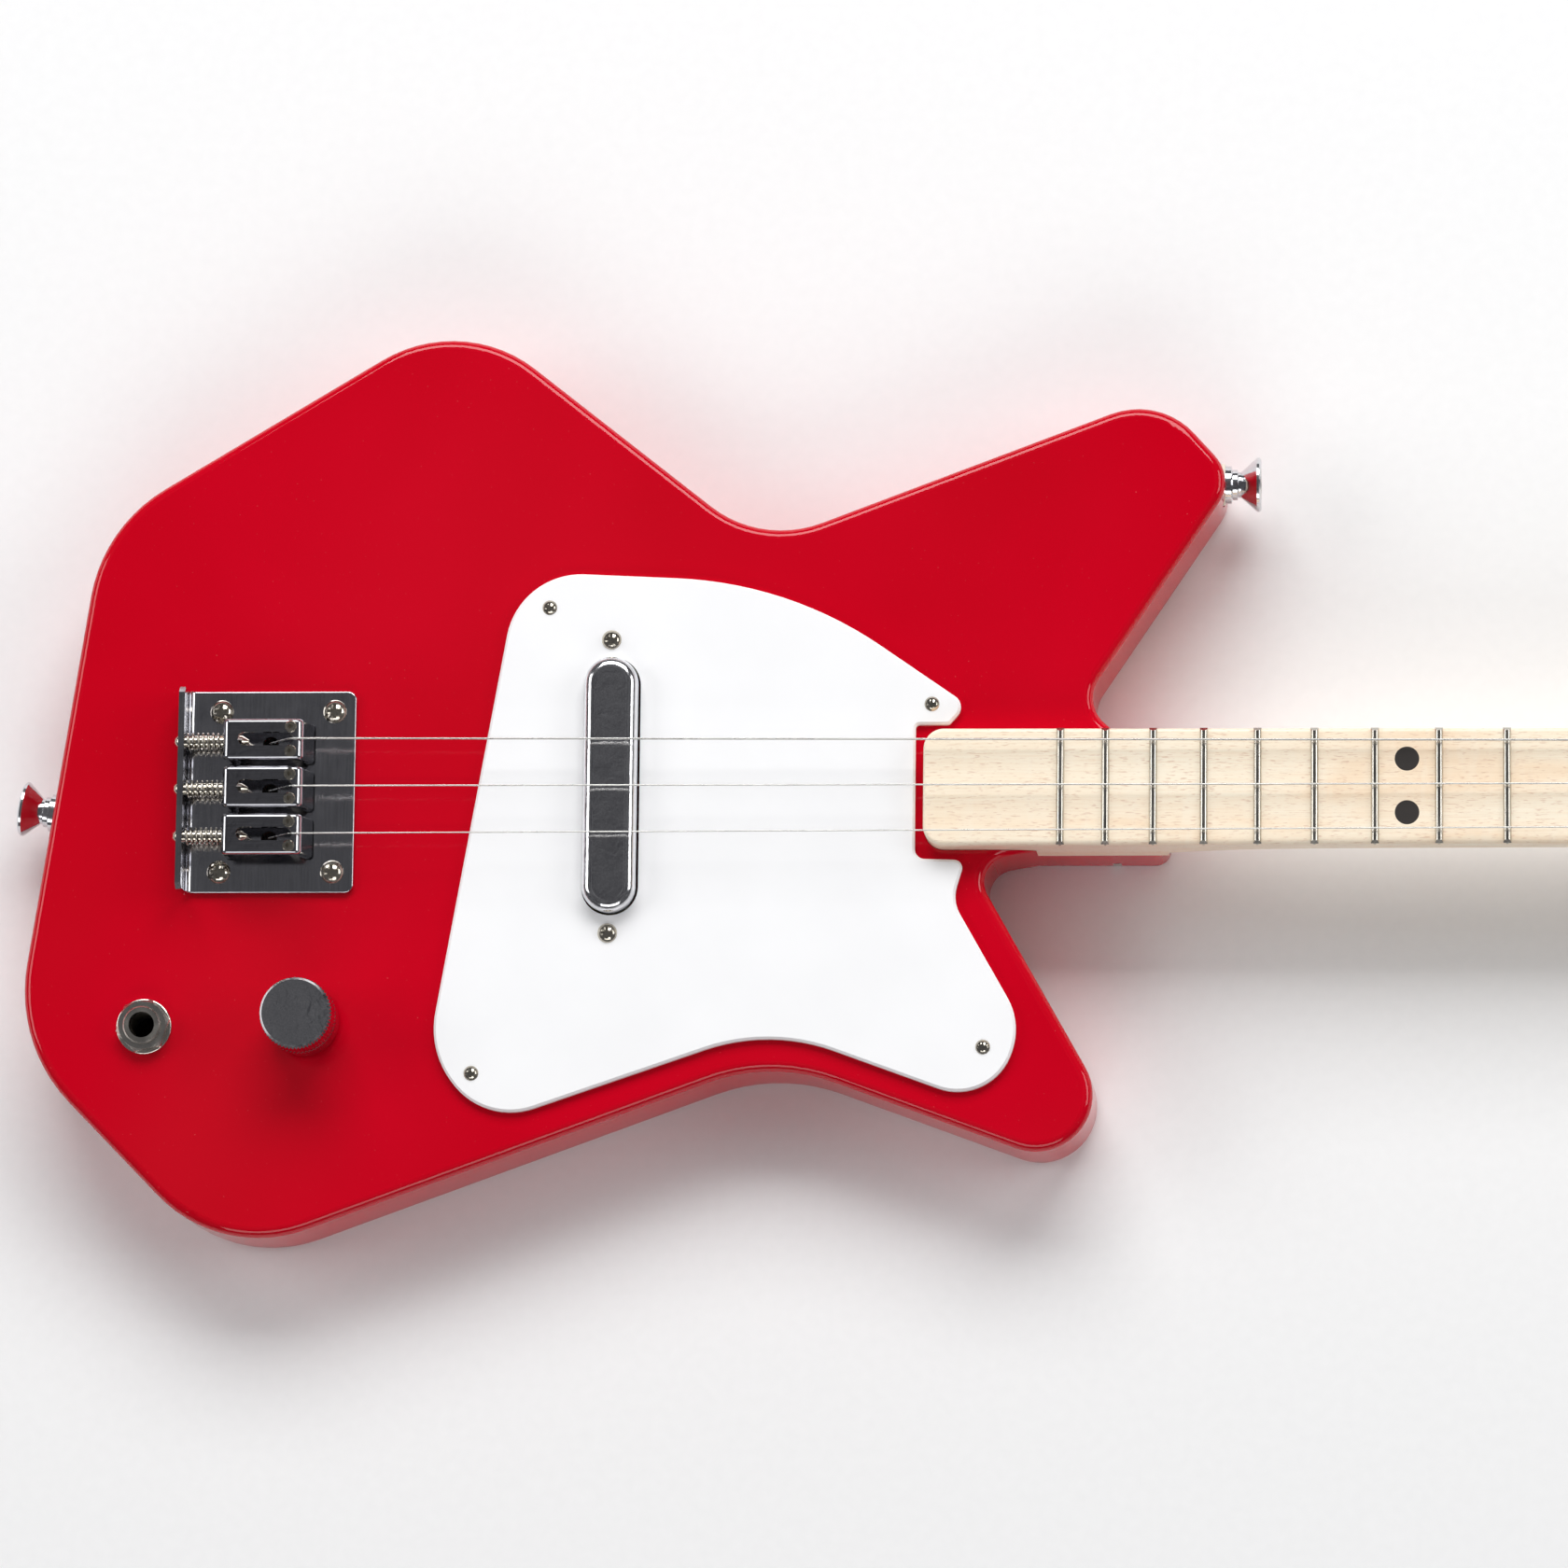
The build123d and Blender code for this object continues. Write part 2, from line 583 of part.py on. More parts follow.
finish(neck_ferrules, "neck_ferrules")

neck_bolt = flat_screw(BOLT_HEAD_R, NECK_BOLT_R, NECK_BOLT_TOP)
finish(place_all(neck_bolt, [Location((x, y, 0), (180, 0, 0)) for x, y in NECK_BOLTS]), "neck_bolts")

# ---------------------------------------------------------------- pickguard
with BuildPart() as pickguard:
    with BuildSketch(Plane.XY.offset(BODY_THICK)):
        add(rounded_shape(GUARD_CORNERS))
    extrude(amount=GUARD_THICK)
    chamfer(pickguard.faces().sort_by(Axis.Z)[-1].outer_wire().edges(), 0.6)
    with BuildSketch(Plane.XY.offset(BODY_THICK)):
        with Locations((PICKUP_X, PICKUP_Y)):
            SlotOverall(
                PICKUP_LENGTH + 2 * PICKUP_SLOT_GAP, 2 * (PICKUP_R + PICKUP_SLOT_GAP), rotation=90
            )
    extrude(amount=GUARD_THICK, mode=Mode.SUBTRACT)
    with Locations(*[(x, y, GUARD_TOP) for x, y in GUARD_SCREWS]):
        Cylinder(1.1, GUARD_THICK, align=DOWNWARD, mode=Mode.SUBTRACT)
    with Locations(*[(x, y, GUARD_TOP) for x, y in PICKUP_SCREWS]):
        Cylinder(1.5, GUARD_THICK, align=DOWNWARD, mode=Mode.SUBTRACT)
finish(pickguard, "pickguard")

guard_screw = cross_screw(1.85, 1.0, 1.1, GUARD_THICK + GUARD_SCREW_DEPTH)
finish(place_all(guard_screw, [(x, y, GUARD_TOP) for x, y in GUARD_SCREWS]), "pickguard_screws")

# ---------------------------------------------------------------- pickup
def pill(inset, rounding):
    """Outer or inner shape of the pickup's cover: a long slot shape with rounded top and bottom rims."""
    with BuildPart() as shape:
        with BuildSketch(Plane.XY.offset(BRACKET_TOP + inset)):
            with Locations((PICKUP_X, PICKUP_Y)):
                SlotOverall(PICKUP_LENGTH - 2 * inset, 2 * (PICKUP_R - inset), rotation=90)
        extrude(amount=PICKUP_TOP - BRACKET_TOP - 2 * inset)
        fillet(shape.faces().filter_by(Axis.Z).edges(), rounding)
    return shape.part


with BuildPart() as pickup_cover:
    add(pill(0, PICKUP_RIM_R))
    add(pill(PICKUP_WALL, PICKUP_RIM_R - PICKUP_WALL), mode=Mode.SUBTRACT)
    # Lead slot in the underside
    with BuildSketch(Plane.XY.offset(BRACKET_TOP)):
        with Locations((PICKUP_X, PICKUP_Y)):
            SlotOverall(30, 4, rotation=90)
    extrude(amount=PICKUP_R / 2, mode=Mode.SUBTRACT)
finish(pickup_cover, "pickup_cover")

COIL_LENGTH = 48.0
COIL_WIDTH = 8.0
COIL_HEIGHT = 7.0
MAGNET = (44.0, 4.0)
COIL_CENTRE = Plane(origin=(PICKUP_X, PICKUP_Y, PICKUP_AXIS_Z))
with BuildPart() as pickup_coil:
    with BuildSketch(COIL_CENTRE):
        SlotOverall(COIL_LENGTH, COIL_WIDTH, rotation=90)
    extrude(amount=COIL_HEIGHT / 2, both=True)
    with BuildSketch(COIL_CENTRE):
        Rectangle(MAGNET[1], MAGNET[0] - MAGNET[1])
    extrude(amount=COIL_HEIGHT / 2, both=True, mode=Mode.SUBTRACT)
finish(pickup_coil, "pickup_coil")

with BuildPart() as pickup_magnet:
    with BuildSketch(COIL_CENTRE):
        Rectangle(MAGNET[1], MAGNET[0] - MAGNET[1])
    extrude(amount=COIL_HEIGHT / 2, both=True)
finish(pickup_magnet, "pickup_magnet")

BRACKET_SCREW_GAP = 5.0
with BuildPart() as pickup_bracket:
    with BuildSketch(Plane.XY.offset(BRACKET_TOP - BRACKET_THICK)):
        with Locations((PICKUP_X, PICKUP_Y)):
            RectangleRounded(12, 2 * (PICKUP_SCREW_REACH + BRACKET_SCREW_GAP), 3)
    extrude(amount=BRACKET_THICK)
    with Locations((PICKUP_X, PICKUP_Y, BRACKET_TOP)):
        Cylinder(2, BRACKET_THICK, align=DOWNWARD, mode=Mode.SUBTRACT)
    with Locations(*[(x, y, BRACKET_TOP) for x, y in PICKUP_SCREWS]):
        Cylinder(1.5, BRACKET_THICK, align=DOWNWARD, mode=Mode.SUBTRACT)
finish(pickup_bracket, "pickup_bracket")

pickup_screw = cross_screw(2.45, 1.4, 1.5, GUARD_THICK + PICKUP_SCREW_DEPTH)
finish(place_all(pickup_screw, [(x, y, GUARD_TOP) for x, y in PICKUP_SCREWS]), "pickup_screws")
pickup_spring = coil_spring(2.1, 0.25, BODY_THICK - BRACKET_TOP, 4)
finish(place_all(pickup_spring, [(x, y, BRACKET_TOP) for x, y in PICKUP_SCREWS]), "pickup_springs")

# ---------------------------------------------------------------- bridge
PLATE_TOP = BODY_THICK + BRIDGE_THICK
BEND_R = 2.2
with BuildPart() as bridge_plate:
    # Side view: flat plate, bend and upright rear lip
    with BuildSketch(Plane.XZ):
        with BuildLine():
            FilletPolyline(
                (BRIDGE_FRONT, BODY_THICK),
                (BRIDGE_REAR, BODY_THICK),
                (BRIDGE_REAR, BRIDGE_LIP_TOP),
                radius=BEND_R + BRIDGE_THICK,
            )
            Line((BRIDGE_REAR, BRIDGE_LIP_TOP), (BRIDGE_REAR + BRIDGE_THICK, BRIDGE_LIP_TOP))
            FilletPolyline(
                (BRIDGE_REAR + BRIDGE_THICK, BRIDGE_LIP_TOP),
                (BRIDGE_REAR + BRIDGE_THICK, PLATE_TOP),
                (BRIDGE_FRONT, PLATE_TOP),
                radius=BEND_R,
            )
            Line((BRIDGE_FRONT, PLATE_TOP), (BRIDGE_FRONT, BODY_THICK))
        make_face()
    extrude(amount=BRIDGE_WIDTH / 2, both=True)
    fillet(bridge_plate.edges().filter_by(Axis.Z).group_by(Axis.X)[-1], 2.2)
    lip_corners = bridge_plate.edges().filter_by(Axis.X).group_by(Axis.Z)[-1]
    chamfer(lip_corners, 1.5)
    fillet(bridge_plate.faces().sort_by(Axis.X)[-1].edges().group_by(Axis.Z)[-1], 0.4)
    with Locations(*[(x, y, PLATE_TOP) for x, y in BRIDGE_SCREWS]):
        Cylinder(1.7, BRIDGE_THICK, align=DOWNWARD, mode=Mode.SUBTRACT)
    with Locations(*[(STRING_HOLE_X, side * SADDLE_SPACING, PLATE_TOP) for side in STRING_SIDES]):
        Cylinder(STRING_HOLE_R, BRIDGE_THICK, align=DOWNWARD, mode=Mode.SUBTRACT)
    with BuildSketch(Plane(origin=(BRIDGE_REAR, 0, INTONATION_Z), x_dir=(0, 1, 0), z_dir=(1, 0, 0))):
        with Locations(*[(side * SADDLE_SPACING, 0) for side in STRING_SIDES]):
            Circle(INTONATION_R + RUN_GAP)
    extrude(amount=BRIDGE_THICK, mode=Mode.SUBTRACT)
finish(bridge_plate, "bridge_plate")

bridge_screw = cross_screw(2.95, 1.7, 1.7, BRIDGE_THICK + BRIDGE_SCREW_DEPTH)
finish(place_all(bridge_screw, [(x, y, PLATE_TOP) for x, y in BRIDGE_SCREWS]), "bridge_screws")

with BuildPart() as string_ferrules:
    for side in STRING_SIDES:
        with BuildSketch():
            with Locations((STRING_HOLE_X, side * SADDLE_SPACING)):
                Circle(FERRULE_R)
        extrude(amount=FERRULE_DEPTH)
        with Locations((STRING_HOLE_X, side * SADDLE_SPACING, FERRULE_DEPTH)):
            Cylinder(1.0, FERRULE_DEPTH, align=DOWNWARD, mode=Mode.SUBTRACT)
        with Locations((STRING_HOLE_X, side * SADDLE_SPACING, FERRULE_DEPTH - 2.5)):
            Cylinder(2.4, FERRULE_DEPTH - 2.5, align=DOWNWARD, mode=Mode.SUBTRACT)
finish(string_ferrules, "string_ferrules")

with BuildPart() as saddle:
    # Bent strip in side view: rear wall, top and sloping front wall
    with BuildSketch(Plane.XZ):
        with BuildLine():
            FilletPolyline(
                (SADDLE_REAR, SADDLE_FOOT),
                (SADDLE_REAR, SADDLE_TOP),
                (SADDLE_TOP_FRONT, SADDLE_TOP),
                (SADDLE_FOOT_FRONT, SADDLE_FOOT),
                radius=[1.8, 2.2],
            )
            Line((SADDLE_FOOT_FRONT, SADDLE_FOOT), (SADDLE_FOOT_FRONT - SADDLE_WALL * 1.05, SADDLE_FOOT))
            FilletPolyline(
                (SADDLE_FOOT_FRONT - SADDLE_WALL * 1.05, SADDLE_FOOT),
                (SADDLE_TOP_FRONT - SADDLE_WALL * 0.85, SADDLE_TOP - SADDLE_WALL),
                (SADDLE_REAR + SADDLE_WALL, SADDLE_TOP - SADDLE_WALL),
                (SADDLE_REAR + SADDLE_WALL, SADDLE_FOOT),
                radius=[0.8, 0.4],
            )
            Line((SADDLE_REAR + SADDLE_WALL, SADDLE_FOOT), (SADDLE_REAR, SADDLE_FOOT))
        make_face()
    extrude(amount=SADDLE_WIDTH / 2, both=True)
    rear_corners = saddle.edges().filter_by(Axis.Z).group_by(Axis.X)[0]
    fillet(rear_corners, 1.0)
    slot_length = SADDLE_SLOT[1] - SADDLE_SLOT[0]
    with BuildSketch(Plane.XY.offset(SADDLE_TOP)):
        with Locations(((SADDLE_SLOT[0] + SADDLE_SLOT[1]) / 2, 0)):
            SlotOverall(slot_length, SADDLE_SLOT_W)
    extrude(amount=-SADDLE_WALL - 0.2, mode=Mode.SUBTRACT)
    with Locations(*[(HEIGHT_SCREW_X, side * HEIGHT_SCREW_Y, SADDLE_TOP) for side in (1, -1)]):
        Cylinder(HEIGHT_SCREW_R, SADDLE_WALL + 1, align=DOWNWARD, mode=Mode.SUBTRACT)
    # Tapped hole for the intonation screw
    with BuildSketch(Plane(origin=(SADDLE_REAR, 0, INTONATION_Z), z_dir=(1, 0, 0))):
        Circle(INTONATION_R + RUN_GAP)
    extrude(amount=SADDLE_WALL, mode=Mode.SUBTRACT)

HEIGHT_SCREW_TOP = SADDLE_TOP + 0.25
HEIGHT_SCREW_FOOT = PLATE_TOP + RUN_GAP
with BuildPart() as height_screws:
    for side in (1, -1):
        with BuildSketch(Plane.XY.offset(HEIGHT_SCREW_FOOT)):
            with Locations((HEIGHT_SCREW_X, side * HEIGHT_SCREW_Y)):
                Circle(HEIGHT_SCREW_R)
        extrude(amount=HEIGHT_SCREW_TOP - HEIGHT_SCREW_FOOT)
    chamfer(height_screws.edges().filter_by(GeomType.CIRCLE), 0.25)
    for side in (1, -1):
        with BuildSketch(Plane.XY.offset(HEIGHT_SCREW_TOP)):
            with Locations((HEIGHT_SCREW_X, side * HEIGHT_SCREW_Y)):
                RegularPolygon(0.75, 6)
        extrude(amount=-2, mode=Mode.SUBTRACT)

INTONATION_TIP = -15.5
LIP_GAP = 0.05
INTONATION_LENGTH = INTONATION_TIP - (BRIDGE_REAR - LIP_GAP)
intonation_screw = cross_screw(2.0, 1.5, INTONATION_R, INTONATION_LENGTH)
SPRING_LENGTH = SADDLE_REAR - (BRIDGE_REAR + BRIDGE_THICK) - 0.2
intonation_spring = coil_spring(2.05, 0.25, SPRING_LENGTH, 6)

for number, side in enumerate(STRING_SIDES, 1):
    place = (0, side * SADDLE_SPACING, 0)
    finish(place_all(saddle.part, [place]), f"saddle_{number}")
    finish(place_all(height_screws.part, [place]), f"height_screws_{number}")
    head_place = Location((BRIDGE_REAR - LIP_GAP, side * SADDLE_SPACING, INTONATION_Z), (0, -90, 0))
    finish(place_all(intonation_screw, [head_place]), f"intonation_screw_{number}")

SPRING_START = BRIDGE_REAR + BRIDGE_THICK + 0.1
spring_places = [
    Location((SPRING_START, side * SADDLE_SPACING, INTONATION_Z), (0, 90, 0)) for side in STRING_SIDES
]
finish(place_all(intonation_spring, spring_places), "intonation_springs")

# ---------------------------------------------------------------- strings
BALL_Z = 4.5
BALL_R = 1.9
CREST_X = -4.3
CREST_R = 2.0
STRING_POST_Z = 35.2

for number, (side, radius, plane) in enumerate(zip(STRING_SIDES, STRING_RADII, TUNER_PLANES), 1):
    bridge_y = side * SADDLE_SPACING
    nut_y = string_y(side, SCALE)
    with BuildPart() as string:
        with BuildLine() as run:
            FilletPolyline(
                (STRING_HOLE_X, bridge_y, BALL_Z),
                (STRING_HOLE_X, bridge_y, PLATE_TOP + 1.5),
                (CREST_X, bridge_y, STRING_Z_SADDLE),
                (NUT_X, nut_y, STRING_Z_NUT),
                (plane.origin.X, nut_y, STRING_POST_Z),
                radius=[1.5, CREST_R, 8.0],
            )
        with BuildSketch(Plane.XY.offset(BALL_Z)):
            with Locations((STRING_HOLE_X, bridge_y)):
                Circle(radius)
        sweep(path=run.wires()[0])
        with Locations((STRING_HOLE_X, bridge_y, BALL_Z)):
            Cylinder(BALL_R, 3.0)
    print(f"string_{number}: length {run.wires()[0].length:.1f}, volume {string.part.volume:.1f}")
    finish(string, f"string_{number}")

# ---------------------------------------------------------------- volume control
KNOB_RIDGES = 60
KNURL_DEPTH = 0.35
KNOB_BANDS = ((31.0, 36.6), (37.8, 44.8))
BUSHING_BORE = SHAFT_R + RUN_GAP
POT_TOP = 31.0
POT_R = 8.0
SHAFT_TOP = 43.0
KNOB_RECESS_R = 7.2
KNOB_RECESS_TOP = 33.5
SET_SCREW_Z = 37.2

with BuildPart() as volume_knob:
    with BuildSketch(Plane.XY.offset(KNOB_BOTTOM)):
        Circle(KNOB_R - KNURL_DEPTH)
    extrude(amount=KNOB_TOP - KNOB_BOTTOM)
    chamfer(volume_knob.edges().group_by(Axis.Z)[-1], 0.5)
    # Knurled bands: a ring of sharp ridges round the barrel
    ridge_points = []
    for ridge in range(2 * KNOB_RIDGES):
        reach = KNOB_R if ridge % 2 else KNOB_R - KNURL_DEPTH
        angle = pi * ridge / KNOB_RIDGES
        ridge_points.append((reach * cos(angle), reach * sin(angle)))
    for band_bottom, band_top in KNOB_BANDS:
        with BuildSketch(Plane.XY.offset(band_bottom)):
            with BuildLine():
                Polyline(*ridge_points, close=True)
            make_face()
        extrude(amount=band_top - band_bottom)
    with Locations((0, 0, KNOB_RECESS_TOP)):
        Cylinder(KNOB_RECESS_R, KNOB_RECESS_TOP - KNOB_BOTTOM, align=DOWNWARD, mode=Mode.SUBTRACT)
    with Locations((0, 0, SHAFT_TOP)):
        Cylinder(SHAFT_R, SHAFT_TOP - KNOB_BOTTOM, align=DOWNWARD, mode=Mode.SUBTRACT)
    with BuildSketch(Plane(origin=(0, 0, SET_SCREW_Z), z_dir=(0, 1, 0))):
        Circle(1.5)
    extrude(amount=KNOB_R, mode=Mode.SUBTRACT)
with BuildPart() as knob_set_screw:
    with BuildSketch(Plane(origin=(0, SHAFT_R, SET_SCREW_Z), z_dir=(0, 1, 0))):
        Circle(1.5)
    extrude(amount=5)
    with BuildSketch(Plane(origin=(0, SHAFT_R + 5, SET_SCREW_Z), z_dir=(0, 1, 0))):
        RegularPolygon(0.75, 6)
    extrude(amount=-2, mode=Mode.SUBTRACT)
knob_place = [Location((KNOB_X, KNOB_Y, 0))]
finish(place_all(volume_knob.part, knob_place), "volume_knob")
finish(place_all(knob_set_screw.part, knob_place), "knob_set_screw")

WIPER_Z = 17.0
with BuildPart() as pot_shaft:
    with BuildSketch(Plane.XY.offset(WIPER_Z)):
        Circle(SHAFT_R)
    extrude(amount=SHAFT_TOP - WIPER_Z)
    with BuildSketch(Plane.XY.offset(WIPER_Z)):
        Circle(5.5)
        with Locations((0, 5.5)):
            Rectangle(1.6, 1.6)
    extrude(amount=1.0)
    chamfer(pot_shaft.edges().group_by(Axis.Z)[-1], 0.4)
finish(place_all(pot_shaft.part, knob_place), "pot_shaft")

with BuildPart() as pot_housing:
    with BuildSketch(Plane.XY.offset(13.5)):
        Circle(POT_R)
    extrude(amount=CAVITY_CEILING - 13.5)
    with BuildSketch(Plane.XY.offset(CAVITY_CEILING)):
        Circle(3.5)
    extrude(amount=POT_TOP - CAVITY_CEILING)
    with BuildSketch(Plane.XY.offset(15.0)):
        Circle(POT_R - 1)
    extrude(amount=20.5 - 15.0, mode=Mode.SUBTRACT)
    with Locations((0, 0, POT_TOP)):
        Cylinder(BUSHING_BORE, POT_TOP - 18, align=DOWNWARD, mode=Mode.SUBTRACT)
    # Three solder lugs point away from the socket's side of the cavity
    with BuildSketch(Plane.XY.offset(15.5)):
        with Locations(*[(POT_R + 1.5, 4 * step) for step in (-1, 0, 1)]):
            Rectangle(5, 1.8)
    extrude(amount=0.6)
    with BuildSketch(Plane.XY.offset(15.0)):
        Circle(POT_R - 1)
    extrude(amount=20.5 - 15.0, mode=Mode.SUBTRACT)
finish(place_all(pot_housing.part, knob_place), "pot_housing")

with BuildPart() as pot_nut:
    with BuildSketch(Plane.XY.offset(BODY_THICK + 0.5)):
        RegularPolygon(5.5, 6)
        Circle(3.5, mode=Mode.SUBTRACT)
    extrude(amount=2.0)
with BuildPart() as pot_washer:
    with BuildSketch(Plane.XY.offset(BODY_THICK)):
        Circle(6.0)
        Circle(3.5, mode=Mode.SUBTRACT)
    extrude(amount=0.5)
finish(stack(knob_place, pot_nut.part, pot_washer.part), "pot_nut")

# ---------------------------------------------------------------- output socket
JACK_WASHER_R = 6.95
JACK_WASHER_THICK = 0.8
JACK_NUT_THICK = 2.6
JACK_NUT_FLAT_R = 5.9
jack_place = [Location((JACK_X, JACK_Y, 0))]
with BuildPart() as jack_sleeve:
    with BuildSketch(Plane.XY.offset(JACK_BOTTOM)):
        Circle(JACK_SLEEVE_R)
        Circle(JACK_BORE_R, mode=Mode.SUBTRACT)
    extrude(amount=JACK_TOP - JACK_BOTTOM)
    with BuildSketch(Plane.XY.offset(JACK_BOTTOM)):
        Circle(6.5)
        Circle(JACK_BORE_R, mode=Mode.SUBTRACT)
    extrude(amount=CAVITY_CEILING - JACK_BOTTOM)
    chamfer(jack_sleeve.edges().group_by(Axis.Z)[-1].sort_by(SortBy.RADIUS)[-1], 0.35)
finish(place_all(jack_sleeve.part, jack_place), "jack_sleeve")

with BuildPart() as jack_nut:
    with BuildSketch(Plane.XY.offset(BODY_THICK + JACK_WASHER_THICK)):
        RegularPolygon(JACK_NUT_FLAT_R, 6, major_radius=False, rotation=12)
    extrude(amount=JACK_NUT_THICK)
    # The corners are turned down to a cone
    with BuildSketch(Plane.XY.offset(BODY_THICK + JACK_WASHER_THICK)):
        Circle(JACK_NUT_FLAT_R + JACK_NUT_THICK)
    extrude(amount=JACK_NUT_THICK, taper=45, mode=Mode.INTERSECT)
    with BuildSketch(Plane.XY.offset(BODY_THICK + JACK_WASHER_THICK)):
        Circle(JACK_SLEEVE_R)
    extrude(amount=JACK_NUT_THICK, mode=Mode.SUBTRACT)

with BuildPart() as jack_washer:
    with BuildSketch(Plane.XY.offset(BODY_THICK)):
        Circle(JACK_WASHER_R)
        Circle(JACK_SLEEVE_R, mode=Mode.SUBTRACT)
    extrude(amount=JACK_WASHER_THICK)
    fillet(jack_washer.edges().group_by(Axis.Z)[-1].sort_by(SortBy.RADIUS)[-1], 0.4)
finish(stack(jack_place, jack_nut.part, jack_washer.part), "jack_nut")

CONTACT_X = 7.5
CONTACT_TOUCH_X = 3.9
with BuildPart() as jack_contacts:
    with BuildSketch(Plane.XZ):
        with BuildLine():
            Polyline((3.6, 20.4), (10.0, 20.4), (10.0, 19.6), (3.6, 19.6), (3.6, 20.4))
        make_face()
        with BuildLine():
            Polyline(
                (CONTACT_X, 18.0),
                (CONTACT_X + 0.5, 18.0),
                (CONTACT_X + 0.5, 9.5),
                (CONTACT_TOUCH_X + 0.5, 7.0),
                (CONTACT_X + 0.5, 4.5),
                (CONTACT_X, 4.5),
                (CONTACT_TOUCH_X, 7.0),
                (CONTACT_X, 9.5),
                (CONTACT_X, 18.0),
            )
        make_face()
    extrude(amount=2.0, both=True)
    with BuildSketch(Plane.XY.offset(14.0)):
        with Locations((CONTACT_X + 1.4, 0)):
            Rectangle(1.8, 6)
    extrude(amount=19.6 - 14.0)
finish(place_all(jack_contacts.part, jack_place), "jack_contacts")

# ---------------------------------------------------------------- wiring
WIRE_R = 0.6
LUG_X = KNOB_X + POT_R + 4.0
LUG_Z = 15.5
WIRE_ROUTES = {
    "pickup lead": [
        (LUG_X + WIRE_R, KNOB_Y, LUG_Z + 0.3),
        (18.8, -53.0, 15.0),
        (PICKUP_X - 6, -36.0, 15.0),
        (PICKUP_X + 0.5, -28.0, 15.5),
        (PICKUP_X, PICKUP_Y - 8, 18.2),
    ],
    "tip lead": [
        (LUG_X - 1.5, KNOB_Y - 4, LUG_Z - WIRE_R),
        (LUG_X - 3.0, KNOB_Y - 4, 8.5),
        (JACK_X + 26, KNOB_Y - 5, 7.5),
        (JACK_X + 13, JACK_Y - 1, 12.0),
        (JACK_X + CONTACT_X + 2.3 + WIRE_R, JACK_Y - 1, 16.5),
    ],
}
with BuildPart() as wiring:
    for route in WIRE_ROUTES.values():
        with BuildLine() as lead:
            FilletPolyline(*route, radius=3.0)
        with BuildSketch(Plane(origin=route[0], z_dir=lead.wires()[0] % 0)):
            Circle(WIRE_R)
        sweep(path=lead.wires()[0])
finish(wiring, "wiring")

# ---------------------------------------------------------------- control cover
with BuildPart() as control_cover:
    with BuildSketch():
        with Locations((CAVITY_X, CAVITY_Y)):
            RectangleRounded(
                CAVITY_L + 2 * COVER_MARGIN, CAVITY_W + 2 * COVER_MARGIN, CAVITY_R + COVER_MARGIN
            )
    extrude(amount=COVER_THICK)
    with Locations(*[Location((x, y, 0), (180, 0, 0)) for x, y in COVER_SCREWS]):
        CounterSinkHole(COVER_SCREW_R, 2.3, depth=COVER_THICK, counter_sink_angle=90)
finish(control_cover, "control_cover")
cover_screw = flat_screw(2.3, COVER_SCREW_R, COVER_THICK + COVER_SCREW_DEPTH - 1)
finish(place_all(cover_screw, [Location((x, y, 0), (180, 0, 0)) for x, y in COVER_SCREWS]), "cover_screws")

# ---------------------------------------------------------------- strap buttons
BUTTON_LENGTH = 8.8
BUTTON_RIM_R = 6.8
BUTTON_WAIST_R = 3.2
with BuildPart() as strap_button:
    with BuildSketch(Plane.XZ):
        with BuildLine():
            Polyline(
                (2.1, 0),
                (4.7, 0),
                (4.7, 1.4),
                (BUTTON_WAIST_R + 0.6, 1.8),
                (BUTTON_WAIST_R + 0.6, 2.9),
                (BUTTON_WAIST_R, 3.2),
                (BUTTON_WAIST_R, 3.8),
                (BUTTON_RIM_R, BUTTON_LENGTH - 1.0),
                (BUTTON_RIM_R, BUTTON_LENGTH - 0.4),
                (BUTTON_RIM_R - 0.4, BUTTON_LENGTH),
                (3.9, BUTTON_LENGTH),
                (2.1, BUTTON_LENGTH - 1.8),
                close=True,
            )
        make_face()
    revolve(axis=Axis.Z)
with BuildPart() as strap_felt:
    with BuildSketch():
        Circle(FELT_R)
        Circle(2.2, mode=Mode.SUBTRACT)
    extrude(amount=FELT_THICK)

strap_planes = [Plane(origin=base, z_dir=direction) for base, direction in STRAP_PLACES]
button_places = [plane.offset(FELT_THICK).location for plane in strap_planes]
screw_places = [plane.offset(FELT_THICK + BUTTON_LENGTH).location for plane in strap_planes]
strap_screw = flat_screw(3.6, STRAP_SCREW_R, FELT_THICK + BUTTON_LENGTH + STRAP_SCREW_DEPTH - 0.5)
finish(place_all(strap_button.part, button_places), "strap_buttons")
finish(place_all(strap_screw, screw_places), "strap_button_screws")
finish(place_all(strap_felt.part, [plane.location for plane in strap_planes]), "strap_felts")

# ---------------------------------------------------------------- tuning machines
# Each machine is drawn at its post: x along the row, y towards the button, z up.
WORM_PITCH = pi * GEAR_MODULE
GEAR_PITCH_R = GEAR_TEETH * GEAR_MODULE / 2
WORM_X = GEAR_PITCH_R + WORM_PITCH_R
GEAR_ROOT_R = 4.1
GEAR_TIP_R = GEAR_PITCH_R + 0.5
SPIGOT_R = 2.0
GEAR_BOTTOM = GEAR_MID_Z - GEAR_THICK / 2
GEAR_TOP = GEAR_MID_Z + GEAR_THICK / 2
POST_TOP = 40.0
BUSHING_TOP = HEAD_TOP + 1.8

